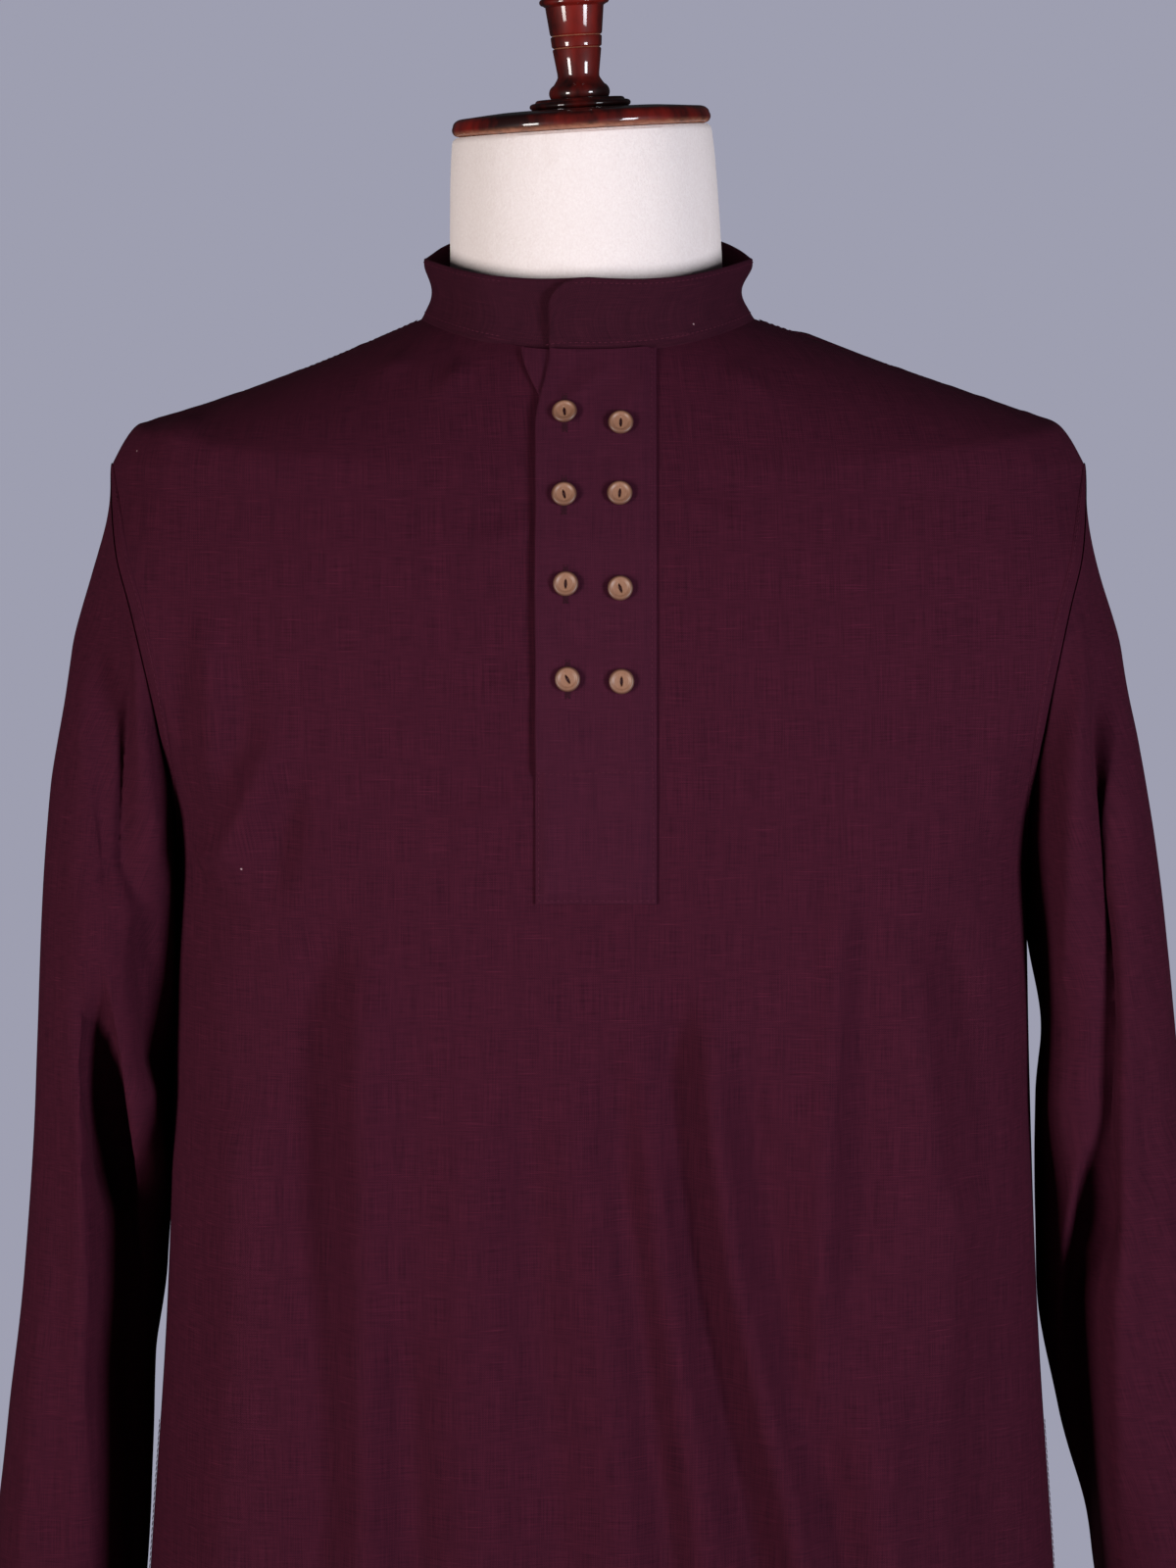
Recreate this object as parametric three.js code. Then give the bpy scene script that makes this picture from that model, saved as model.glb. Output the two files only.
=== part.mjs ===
// A kurta tunic on a limbless dress form: two panels, two sleeves, a stand collar, a placket of
// two strips and eight buttons, over a padded torso with a turned neck cap, finial, pole and foot.
// Millimetres, +Z up. The front faces -Y, +X is the viewer's right, and the foot stands on z = 0.
import * as THREE from 'three';
import { mergeVertices } from 'three/addons/utils/BufferGeometryUtils.js';

// ---- Driving dimensions ----
const SEAM = 0.3; // space between two pieces that are sewn or set together
const CLOTH = 1.3; // wall of a panel or sleeve
const BAND = 1.7; // wall of the collar, which is doubled cloth
const STRIP = 1.2; // wall of each placket strip

const HEM_Z = 460; // lower edge of both panels
const SLIT_Z = 938; // top of the two side slits
const UNDERARM_Z = 1212; // where the side seam meets the armhole
const SHOULDER_Z = 1411; // where the shoulder seam meets the armhole
const NECK_FRONT_Z = 1468; // neck seam at the centre front
const NECK_SIDE_Z = 1482; // neck seam at the shoulder seam
const NECK_BACK_Z = 1487; // neck seam at the centre back
const CUFF_Z = 800; // lower edge of both sleeves

const SHOULDER_HALF = 238.5; // half the width across the shoulder points
const NECK_HALF = 80; // half the width of the neck opening
const NECK_FRONT = 66; // how far the neck seam comes forward
const NECK_BACK = 70; // and how far it goes back
const NECK_SHIFT = -4; // the neck opening sits a little off the centre line
const SLIT_OPEN = 11; // how far each edge of a slit has swung at the hem
const ARMHOLE_DEPTH = 72; // how far the armhole reaches forward and back of the shoulder line
const SHOULDER_SAG = 3.6; // how far the shoulder seam on the viewer's left hangs below a straight slope

const BUTTON_R = 6; // radius of a button
const BUTTON_H = 2.4; // thickness of a button

// ---- Shapes that follow the height: pairs of [height, size] ----
const panelHalf = curveThrough([
  [HEM_Z, 252], [860, 226], [1000, 216], [1120, 211], [UNDERARM_Z, 208.5], [1240, 207.5], [1260, 209],
  [1291, 214], [1320, 220], [1345, 226], [1370, 233], [SHOULDER_Z, SHOULDER_HALF],
]);
const panelDepth = {
  front: curveThrough([
    [HEM_Z, 134], [860, 126], [1000, 123], [UNDERARM_Z, 122], [1320, 115], [1370, 106], [SHOULDER_Z, 92],
  ]),
  back: curveThrough([
    [HEM_Z, 128], [860, 120], [1000, 117], [UNDERARM_Z, 119], [1310, 121], [1370, 114], [SHOULDER_Z, 102],
  ]),
};
// How square a level section is: 2 is an ellipse, and more has a flatter front and sides.
const panelSquare = curveThrough([[HEM_Z, 2.5], [1000, 2.9], [1250, 3], [SHOULDER_Z, 2.4]]);
const panelShift = curveThrough([[HEM_Z, 3], [UNDERARM_Z, 3], [SHOULDER_Z, 1]]);
const torsoHalf = curveThrough([
  [752, 150], [790, 168], [880, 172], [1040, 152], [1130, 158], [UNDERARM_Z, 176], [1300, 200],
  [1360, 216], [SHOULDER_Z, 229],
]);
const torsoDepth = curveThrough([
  [752, 92], [790, 106], [880, 108], [1040, 94], [1130, 104], [UNDERARM_Z, 112], [1320, 104], [SHOULDER_Z, 83],
]);
const sleeveOuter = {
  left: curveThrough([[CUFF_Z, 310], [938, 293], [1012, 283], [1104, 276], [1203, 271], [1277, 264], [1349, 254],
    [1385, 247], [SHOULDER_Z, 239.5]]),
  right: curveThrough([[CUFF_Z, 328], [938, 309], [1012, 300], [1104, 289], [1203, 277], [1277, 265], [1349, 253],
    [1385, 247], [SHOULDER_Z, 239.5]]),
};
const sleeveInner = {
  left: curveThrough([[CUFF_Z, 232], [860, 228], [938, 224], [1012, 217.5], [1104, 211.5], [UNDERARM_Z, 208.5]]),
  right: curveThrough([[CUFF_Z, 262], [860, 248], [938, 230], [1012, 222.5], [1104, 217.5], [UNDERARM_Z, 214.5]]),
};
const sleeveDepth = curveThrough([[CUFF_Z, 57], [940, 66], [1100, 76], [UNDERARM_Z, 80], [SHOULDER_Z, 74]]);

// The largest folds of the skirt: soft ridges and troughs that run down and flare, as
// [x at the top, top height, x at the hem, height out of the cloth, half width].
const FRONT_FOLDS = [
  [44, 1160, 105, 5, 20],
  [18, 1060, 62, 4, 18],
  [122, 1180, 105, 4, 24],
  [-95, 1000, -112, 4, 24],
  [-150, 1060, -165, -5, 24],
  [172, 1060, 190, -4, 22],
];
const BACK_FOLDS = [
  [-60, 1150, -95, 5, 24],
  [70, 1120, 100, 5, 24],
  [0, 1000, 5, -4, 22],
];

// ---- Small tools ----
function mix(a, b, t) {
  return a + (b - a) * t;
}

function clamp01(t) {
  return Math.min(1, Math.max(0, t));
}

function smooth(t) {
  const s = clamp01(t);
  return s * s * (3 - 2 * s);
}

// A smooth curve through [height, size] pairs, which never swings past them.
function curveThrough(pairs) {
  const rise = pairs.slice(1).map((p, i) => (p[1] - pairs[i][1]) / (p[0] - pairs[i][0]));
  const slope = pairs.map((p, i) => {
    const before = rise[Math.max(0, i - 1)];
    const after = rise[Math.min(rise.length - 1, i)];
    return before * after <= 0 ? 0 : (2 * before * after) / (before + after);
  });
  return (at) => {
    let i = 0;
    while (i < pairs.length - 2 && at > pairs[i + 1][0]) i += 1;
    const span = pairs[i + 1][0] - pairs[i][0];
    const t = clamp01((at - pairs[i][0]) / span);
    const bend = t * (1 - t) * span;
    const even = mix(pairs[i][1], pairs[i + 1][1], smooth(t));
    return even + bend * ((1 - t) * slope[i] - t * slope[i + 1]);
  };
}

function steps(count, from, to) {
  return Array.from({ length: count + 1 }, (_, i) => mix(from, to, i / count));
}

// ---- Closed bodies from grids of points ----
// Rows run upwards and columns run anticlockwise seen from above, so outside faces point out.
function addSheet(out, at, rows, columns, wrap, flip) {
  for (let r = 0; r < rows - 1; r += 1) {
    for (let c = 0; c < (wrap ? columns : columns - 1); c += 1) {
      const d = (c + 1) % columns;
      const quad = [at(r, c), at(r, d), at(r + 1, d), at(r + 1, c)];
      if (flip) quad.reverse();
      out.push(quad[0], quad[1], quad[2], quad[0], quad[2], quad[3]);
    }
  }
}

function geometryFrom(points, triangles) {
  const geometry = new THREE.BufferGeometry();
  geometry.setAttribute('position', new THREE.Float32BufferAttribute(points.flatMap((p) => p.toArray()), 3));
  geometry.setIndex(triangles);
  const merged = mergeVertices(geometry, 1e-4);
  merged.computeVertexNormals();
  return merged;
}

// A wall between an outer and an inner grid of the same size.
function wallBetween(outer, inner, wrap = false) {
  const rows = outer.length;
  const columns = outer[0].length;
  const points = [...outer.flat(), ...inner.flat()];
  const outside = (r, c) => r * columns + c;
  const inside = (r, c) => rows * columns + r * columns + c;
  const triangles = [];
  addSheet(triangles, outside, rows, columns, wrap, false);
  addSheet(triangles, inside, rows, columns, wrap, true);
  const foot = (r, c) => (r === 0 ? inside(0, c) : outside(0, c));
  const top = (r, c) => (r === 0 ? outside(rows - 1, c) : inside(rows - 1, c));
  addSheet(triangles, foot, 2, columns, wrap, false);
  addSheet(triangles, top, 2, columns, wrap, false);
  if (!wrap) {
    const first = (r, c) => (c === 0 ? inside(r, 0) : outside(r, 0));
    const last = (r, c) => (c === 0 ? outside(r, columns - 1) : inside(r, columns - 1));
    addSheet(triangles, first, rows, 2, false, false);
    addSheet(triangles, last, rows, 2, false, false);
  }
  return geometryFrom(points, triangles);
}

// A solid body through closed rings, with a flat fan over each end.
function solidThrough(rings) {
  const columns = rings[0].length;
  const points = rings.flat();
  const centre = (ring) => ring.reduce((sum, p) => sum.add(p), new THREE.Vector3()).divideScalar(columns);
  const foot = points.push(centre(rings[0])) - 1;
  const top = points.push(centre(rings[rings.length - 1])) - 1;
  const triangles = [];
  const lastRing = (rings.length - 1) * columns;
  addSheet(triangles, (r, c) => r * columns + c, rings.length, columns, true, false);
  for (let c = 0; c < columns; c += 1) {
    const d = (c + 1) % columns;
    triangles.push(foot, d, c, top, lastRing + c, lastRing + d);
  }
  return geometryFrom(points, triangles);
}

// Outward directions of a grid, from its neighbours.
function gridNormals(grid, wrap) {
  const rows = grid.length;
  const columns = grid[0].length;
  const column = (c) => (wrap ? (c + columns) % columns : Math.min(columns - 1, Math.max(0, c)));
  return grid.map((row, r) => row.map((_, c) => {
    const across = row[column(c + 1)].clone().sub(row[column(c - 1)]);
    const up = grid[Math.min(rows - 1, r + 1)][c].clone().sub(grid[Math.max(0, r - 1)][c]);
    return across.cross(up).normalize();
  }));
}

// A cloth wall under a grid. At a seam, seamNormal(r, c, point, normal) gives the direction that
// both pieces share, so their inner edges stay apart too.
function clothWall(grid, wrap, seamNormal) {
  const normals = gridNormals(grid, wrap);
  const inner = grid.map((row, r) => row.map((p, c) => {
    const direction = seamNormal(r, c, p, normals[r][c]) ?? normals[r][c];
    return p.clone().addScaledVector(direction, -CLOTH);
  }));
  return wallBetween(grid, inner, wrap);
}

// ---- The garment's form ----
// side is -1 for the front and 1 for the back. level is the height up to the shoulder point, and
// above it climbs from 0 to 1 of the yoke. u runs from -1 to 1 across the panel.
const YOKE_TOP = SHOULDER_Z + 1;

function across(u, sharp, round) {
  return Math.pow(Math.max(0, 1 - Math.pow(Math.abs(u), sharp)), 1 / round);
}

// The larger of two depths, with the change from one to the other rounded off.
function soften(a, b) {
  return Math.pow(Math.pow(a, 2.5) + Math.pow(b, 2.5), 1 / 2.5);
}

// 0 at the underarm and at the shoulder point, 1 halfway up the armhole.
function armholeBulge(z) {
  const s = clamp01((z - UNDERARM_Z) / (SHOULDER_Z - UNDERARM_Z));
  return Math.pow(Math.sin(Math.PI * s), 0.6);
}

// How far a panel's side edge stands in front of, or behind, the shoulder line.
function edgeDepth(z) {
  const swing = SLIT_OPEN * Math.pow(clamp01((SLIT_Z - z) / (SLIT_Z - HEM_Z)), 1.2);
  return SEAM / 2 + swing + ARMHOLE_DEPTH * armholeBulge(z);
}

function foldHeight(folds, x, z) {
  return folds.reduce((sum, [topX, topZ, hemX, height, halfWidth]) => {
    const t = (topZ - z) / (topZ - HEM_Z);
    const off = (x - mix(topX, hemX, t)) / (halfWidth * mix(0.8, 1.5, clamp01(t)));
    return sum + height * smooth(t * 2.5) * Math.exp(-off * off);
  }, 0);
}

// Where the shoulder seam is, as a share of the climb to the neck: a short roll, then a slope.
function shoulderClimb(h) {
  const roll = 0.21;
  const rollShare = 0.09;
  return (1 - roll) * h + roll * Math.sin(clamp01(h / rollShare) * Math.PI / 2);
}

function neckSeamZ(side, u) {
  const middle = side < 0 ? NECK_FRONT_Z : NECK_BACK_Z;
  return mix(middle, NECK_SIDE_Z, Math.pow(Math.abs(u), 2.4));
}

function levelWidth(level) {
  const h = clamp01(level - SHOULDER_Z);
  return {
    half: h > 0 ? mix(SHOULDER_HALF, NECK_HALF, h) : panelHalf(level),
    shift: h > 0 ? mix(panelShift(SHOULDER_Z), NECK_SHIFT, h) : panelShift(level),
  };
}

function panelPoint(side, u, level) {
  const z = Math.min(level, SHOULDER_Z);
  const h = clamp01(level - SHOULDER_Z);
  const edge = edgeDepth(z);
  const depth = (side < 0 ? panelDepth.front : panelDepth.back)(z);
  const chest = soften(depth * across(u, panelSquare(z), panelSquare(z)), edge * Math.pow(Math.abs(u), 3));
  const neck = SEAM / 2 + (side < 0 ? NECK_FRONT : NECK_BACK) * across(u, 2, 2);
  const { half, shift } = levelWidth(level);
  const x = shift + half * u;
  const climb = mix(h, shoulderClimb(h), Math.pow(Math.abs(u), 3));
  const fold = foldHeight(side < 0 ? FRONT_FOLDS : BACK_FOLDS, x, z) * across(u, 6, 1);
  const sag = u < 0 ? SHOULDER_SAG * Math.sin(Math.PI * h) * Math.pow(-u, 3) : 0;
  const top = z + (neckSeamZ(side, u) - z) * climb * (h > 0) - sag;
  return new THREE.Vector3(x, side * (mix(chest, neck, h) + fold), top);
}

// A point on the front at a given x, moved out by a distance.
function onFront(x, level, out) {
  const { half, shift } = levelWidth(level);
  const u = (x - shift) / half;
  const step = 0.02;
  const rise = level > SHOULDER_Z - 1 ? 0.02 : 2;
  const right = panelPoint(-1, u + step, level).sub(panelPoint(-1, u - step, level));
  const up = panelPoint(-1, u, level + rise).sub(panelPoint(-1, u, level - rise));
  const normal = right.cross(up).normalize();
  return { point: panelPoint(-1, u, level).addScaledVector(normal, out), normal };
}

// The level whose centre-front height is z.
function levelAtHeight(z) {
  return z <= SHOULDER_Z ? z : SHOULDER_Z + (z - SHOULDER_Z) / (NECK_FRONT_Z - SHOULDER_Z);
}

const ARMHOLE_STEPS = 10;
const YOKE_STEPS = 7;

function armholeHeight(turn) {
  return mix(UNDERARM_Z, SHOULDER_Z, (1 - Math.cos(turn)) / 2);
}

const PANEL_LEVELS = [
  ...steps(6, HEM_Z, SLIT_Z),
  ...steps(6, SLIT_Z, UNDERARM_Z).slice(1),
  ...steps(ARMHOLE_STEPS, 0, Math.PI).slice(1).map(armholeHeight),
  ...steps(YOKE_STEPS, 0, 1).slice(1).map((h) => SHOULDER_Z + Math.pow(h, 1.25)),
];

// At an armhole the shared direction points away from the middle of the hole; at the side and
// shoulder seams it stays in the plane of the seam.
function armholeNormal(point) {
  return new THREE.Vector3(0, point.y, point.z - (UNDERARM_Z + SHOULDER_Z) / 2).normalize();
}

function panel(side, columns) {
  const turns = steps(columns, -Math.PI / 2, Math.PI / 2);
  const grid = PANEL_LEVELS.map((level) => turns.map((turn) => panelPoint(side, -side * Math.sin(turn), level)));
  return clothWall(grid, false, (r, c, point, normal) => {
    if (c > 0 && c < columns) return null;
    if (point.z > UNDERARM_Z - 1 && PANEL_LEVELS[r] <= SHOULDER_Z) return armholeNormal(point);
    return new THREE.Vector3(normal.x, 0, normal.z).normalize();
  });
}

// ---- Sleeves ----
// hand is -1 for the sleeve on the viewer's left and 1 for the one on the right. turn is 0 at the
// outer edge, and goes anticlockwise seen from above.
const SLEEVE_FOLDS = {
  left: [[-2.0, 9, 0.36], [2.1, 7, 0.4], [-0.75, -3, 0.35]],
  right: [[-1.1, 9, 0.36], [1.2, 7, 0.4], [-2.4, -3, 0.35]],
};

function sleevePoint(hand, turn, down) {
  const name = hand < 0 ? 'left' : 'right';
  const outward = hand < 0 ? Math.PI - turn : turn;
  const height = (1 + Math.cos(outward)) / 2;
  const seamZ = mix(UNDERARM_Z, SHOULDER_Z, height);
  const z = mix(seamZ, CUFF_Z, down);
  const front = Math.sin(turn);
  const seam = {
    x: panelShift(seamZ) + hand * (panelHalf(seamZ) + 2 * SEAM),
    y: front < 0 ? -edgeDepth(seamZ) : edgeDepth(seamZ),
  };
  const outer = sleeveOuter[name](z);
  const inner = sleeveInner[name](Math.min(z, UNDERARM_Z));
  const fold = SLEEVE_FOLDS[name].reduce((sum, [at, depth, width]) => {
    let off = (turn - (hand < 0 ? Math.PI - at : at)) % (2 * Math.PI);
    if (off > Math.PI) off -= 2 * Math.PI;
    if (off < -Math.PI) off += 2 * Math.PI;
    return sum + depth * Math.exp(-Math.pow(off / width, 2));
  }, 0) * smooth((seamZ - z) / 160);
  const middle = hand * (outer + inner) / 2;
  const freeX = middle + Math.cos(turn) * ((outer - inner) / 2 - fold * 0.6);
  const freeY = front * (sleeveDepth(z) - fold);
  const free = smooth((seamZ - z) / 90);
  const seamY = Math.abs(front) < 1e-9 ? 0 : seam.y;
  return new THREE.Vector3(mix(seam.x, freeX, free), mix(seamY, freeY, free), z);
}

function sleeve(hand) {
  const columns = 2 * ARMHOLE_STEPS;
  const downs = steps(15, 1, 0).map((d) => Math.pow(d, 1.15));
  const turns = steps(columns, 0, 2 * Math.PI).slice(0, columns);
  const grid = downs.map((down) => turns.map((turn) => sleevePoint(hand, turn, down)));
  return clothWall(grid, true, (r, c, point) => (r === grid.length - 1 ? armholeNormal(point) : null));
}

// ---- Collar ----
// The band starts at the lapping end, left of the centre front, runs round by the right, the back
// and the left, and ends under its own start.
const COLLAR_START = THREE.MathUtils.degToRad(-103.5);
const COLLAR_LAP = THREE.MathUtils.degToRad(30);
const LAP_INSET = BAND + 0.6; // how far the under end lies inside the lapping one

function collarPoint(turn, climb, out) {
  const side = Math.sin(turn) < 0 ? -1 : 1;
  const u = Math.cos(turn);
  const travelled = turn - COLLAR_START;
  const inset = LAP_INSET * smooth((travelled - (2 * Math.PI - 0.5)) / 0.35);
  const stand = side < 0 ? mix(34, 28.5, Math.abs(u)) : mix(36.5, 28.5, Math.pow(Math.abs(u), 8));
  const lean = mix(0, 1.5, climb) * (side < 0 ? 1 : 0.5);
  const radiusX = NECK_HALF - inset + out + lean * 0.4;
  const radiusY = (side < 0 ? NECK_FRONT : NECK_BACK) - inset + out + lean;
  const base = neckSeamZ(side, u) + 2 * SEAM;
  return new THREE.Vector3(NECK_SHIFT + radiusX * u, radiusY * Math.sin(turn), base + stand * climb);
}

function collar() {
  const turns = steps(46, COLLAR_START, COLLAR_START + 2 * Math.PI + COLLAR_LAP);
  const climbs = steps(2, 0, 1);
  const grid = (out) => climbs.map((climb) => turns.map((turn) => collarPoint(turn, climb, out)));
  return wallBetween(grid(0), grid(-BAND));
}

// ---- Placket ----
const PLACKET_FOOT = 1208;
const UNDER_OUT = 0.75; // the under strip's inner face, out from the front panel
const OVER_OUT = UNDER_OUT + STRIP + 0.35; // the lapping strip's inner face
const OVER_EDGES = { left: -29, right: 28.5, topLeft: -22 };
const UNDER_EDGES = { left: -27, right: 24, topLeft: -36 };

function strip(edges, foot, out) {
  const top = YOKE_TOP - 0.015;
  const levels = [foot, ...PANEL_LEVELS.filter((level) => level > foot + 3 && level < top), top];
  const grid = (offset) => levels.map((level) => {
    const swing = smooth((level - SHOULDER_Z - 0.35) / 0.65);
    return steps(4, mix(edges.left, edges.topLeft, swing), edges.right).map((x) => onFront(x, level, offset).point);
  });
  return wallBetween(grid(out + STRIP), grid(out));
}

// ---- Buttons ----
// A turned disc with a rounded rim and a dished face.
function buttonShape() {
  const profile = [
    [0, 0], [4.6, 0], [5.7, 0.5], [BUTTON_R, 1.2], [5.6, 2.1], [5, BUTTON_H], [4.1, 2.1], [3.2, 1.5], [0, 1.4],
  ].map(([r, z]) => new THREE.Vector2(r, z));
  const shape = new THREE.LatheGeometry(profile, 16);
  shape.rotateX(Math.PI / 2);
  return shape;
}

// Each button's place across the placket, and its height on the front.
const BUTTONS = [
  ['button_a1', -15, 1437], ['button_a2', -15.3, 1399], ['button_a3', -14.5, 1358], ['button_a4', -13.6, 1314],
  ['button_b1', 11.5, 1432], ['button_b2', 11, 1399.5], ['button_b3', 11.2, 1356], ['button_b4', 11.8, 1313],
];

// ---- The dress form ----
const CAP_R = 63.4; // the neck cap's radius, and the neck's half width under it
const CAP_Z = 1573; // where the cap sits on the neck
const CAP_H = 11; // thickness of the cap
const CAP_TILT = THREE.MathUtils.degToRad(3.4); // the neck and cap lean to the viewer's left
const NECK_LEAN_X = -7.1; // how far the cap's centre is off the centre line
const NECK_Y = 4; // the neck stands a little behind the shoulder line
const CLEAR = 6; // how far the form lies inside the outer face of the cloth
const TORSO_FOOT = 752;
const POLE_R = 17;
const BASE_R = 190;
const BASE_H = 34;
const PLATE_H = 14;

function ringOf(columns, at) {
  return steps(columns, 0, 2 * Math.PI).slice(0, columns).map((turn) => at(Math.cos(turn), Math.sin(turn)));
}

function roundOut(cosine, power) {
  return Math.sign(cosine) * Math.pow(Math.abs(cosine), power);
}

function torso() {
  const columns = 28;
  const below = [TORSO_FOOT, 766, 790, 840, 900, 970, 1040, 1100, 1160, UNDERARM_Z, 1260, 1310, 1360, 1390, SHOULDER_Z];
  const rings = below.map((z) => ringOf(columns, (c, s) => new THREE.Vector3(
    panelShift(z) + torsoHalf(z) * roundOut(c, 0.88), torsoDepth(z) * roundOut(s, 0.88), z)));
  steps(6, 0, 1).slice(1).forEach((step) => {
    const h = Math.pow(step, 1.2);
    rings.push(ringOf(columns, (c, s) => {
      const side = s < 0 ? -1 : 1;
      const wide = roundOut(c, mix(0.88, 1, h));
      const deep = roundOut(s, mix(0.88, 1, h));
      const climb = mix(h, shoulderClimb(h), Math.pow(Math.abs(c), 3));
      const reach = mix(torsoDepth(SHOULDER_Z), (side < 0 ? NECK_FRONT : NECK_BACK) - CLEAR, h);
      const x = mix(panelShift(SHOULDER_Z), NECK_SHIFT, h) + mix(torsoHalf(SHOULDER_Z), NECK_HALF - CLEAR, h) * wide;
      const z = SHOULDER_Z + (neckSeamZ(side, c) - CLEAR - SHOULDER_Z) * climb;
      return new THREE.Vector3(x, reach * deep, z);
    }));
  });
  const neck = [[1492, 69, 59], [1502, 67, 58.5], [1530, 66, 58.5], [CAP_Z - 2, CAP_R, 60], [CAP_Z, CAP_R - 2, 58]];
  neck.forEach(([z, halfX, halfY]) => {
    const t = clamp01((z - NECK_SIDE_Z) / (CAP_Z - NECK_SIDE_Z));
    const tilt = Math.tan(CAP_TILT) * smooth(t * 1.1);
    rings.push(ringOf(columns, (c, s) => new THREE.Vector3(
      mix(NECK_SHIFT, NECK_LEAN_X, t) + halfX * c, NECK_Y + halfY * s, z + tilt * halfX * c)));
  });
  return solidThrough(rings);
}

// The board under the torso, cut to its outline.
function plate() {
  const rings = [TORSO_FOOT - SEAM - PLATE_H, TORSO_FOOT - SEAM].map((z) => ringOf(28, (c, s) => new THREE.Vector3(
    panelShift(z) + (torsoHalf(TORSO_FOOT) - 3) * roundOut(c, 0.88), (torsoDepth(TORSO_FOOT) - 3) * roundOut(s, 0.88), z)));
  return solidThrough(rings);
}

function turned(pairs, segments) {
  const shape = new THREE.LatheGeometry(pairs.map(([r, z]) => new THREE.Vector2(r, z)), segments);
  shape.rotateX(Math.PI / 2);
  return shape;
}

function neckCap() {
  return turned([
    [0, 0], [CAP_R - 2, 0], [CAP_R - 0.4, 1.6], [CAP_R, 3.6], [CAP_R - 1, 6], [CAP_R - 5, 8.2], [CAP_R - 16, 9.6],
    [26, CAP_H - 0.4], [0, CAP_H - 0.4],
  ], 32);
}

// Flange, bulb, grooved stem and a plain knob.
function finialShape() {
  return turned([
    [0, 0], [24, 0], [24.8, 1.6], [24, 3.8], [14.4, 4.4], [14.9, 7], [13.4, 11.4], [10.3, 15], [12, 28.4],
    [11.4, 29], [12.4, 29.6], [12.6, 34.4], [12, 35], [13, 35.6], [14.4, 49.6], [17, 50.2], [17, 53.6], [13, 55.4],
    [16.4, 61], [18.6, 69], [17, 78], [11, 85.5], [0, 89],
  ], 20);
}

function poleShape() {
  const top = TORSO_FOOT - PLATE_H - 2 * SEAM;
  const foot = BASE_H + 6 + SEAM;
  return turned([[0, foot], [POLE_R, foot], [POLE_R, top - 26], [POLE_R + 8, top - 22], [POLE_R + 8, top], [0, top]], 28);
}

function baseShape() {
  return turned([
    [0, 0], [BASE_R - 4, 0], [BASE_R, 4], [BASE_R, 14], [BASE_R - 4, 18], [BASE_R - 10, 20], [BASE_R * 0.6, 26],
    [44, BASE_H - 4], [32, BASE_H + 2], [30, BASE_H + 6], [0, BASE_H + 6],
  ], 40);
}

// ---- Materials and the scene graph ----
const PALETTE = {
  cotton: { color: 0x40192a, roughness: 0.85 },
  placket: { color: 0x43192c, roughness: 0.85 },
  jersey: { color: 0xede3dd, roughness: 0.95 },
  wood: { color: 0x5a1f1a, roughness: 0.25 },
  buttonWood: { color: 0xa98463, roughness: 0.5 },
};

const kurta = new THREE.Group();

function addPiece(parent, name, geometry, finish) {
  const material = new THREE.MeshStandardMaterial({ metalness: 0, ...PALETTE[finish] });
  const mesh = new THREE.Mesh(geometry, material);
  mesh.name = name;
  parent.add(mesh);
  return mesh;
}

addPiece(kurta, 'kurta_front', panel(-1, 24), 'cotton');
addPiece(kurta, 'kurta_back', panel(1, 18), 'cotton');
addPiece(kurta, 'sleeve_left', sleeve(-1), 'cotton');
addPiece(kurta, 'sleeve_right', sleeve(1), 'cotton');
addPiece(kurta, 'collar', collar(), 'placket');
addPiece(kurta, 'placket_under', strip(UNDER_EDGES, PLACKET_FOOT + 4, UNDER_OUT), 'placket');
addPiece(kurta, 'placket_over', strip(OVER_EDGES, PLACKET_FOOT, OVER_OUT), 'placket');

BUTTONS.forEach(([name, x, z]) => {
  const { point, normal } = onFront(x, levelAtHeight(z), OVER_OUT + STRIP + 2 * SEAM);
  const button = addPiece(kurta, name, buttonShape(), 'buttonWood');
  button.position.copy(point);
  button.quaternion.setFromUnitVectors(new THREE.Vector3(0, 0, 1), normal);
});

addPiece(kurta, 'form_torso', torso(), 'jersey');
addPiece(kurta, 'form_plate', plate(), 'wood');
addPiece(kurta, 'pole', poleShape(), 'wood');
addPiece(kurta, 'base', baseShape(), 'wood');

const head = new THREE.Group();
head.position.set(NECK_LEAN_X, NECK_Y, CAP_Z + SEAM);
head.rotation.y = -CAP_TILT;
kurta.add(head);
addPiece(head, 'neck_cap', neckCap(), 'wood');
addPiece(head, 'finial', finialShape(), 'wood').position.z = CAP_H - 0.4 + SEAM;

export default kurta;
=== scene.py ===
# %% [markdown]
# # A kurta tunic on a dress form
# The tunic is cut from one thin cloth: a front, a back, two sleeves, a stand collar and a
# placket of two strips with eight wooden buttons. It hangs on a padded jersey form with a
# lacquered neck cap and finial. Each cloth is a thin wall that follows a form worked out in
# millimetres, and the creases are soft ridges and troughs laid on it.

# %% Load the imported frame
import math

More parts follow.
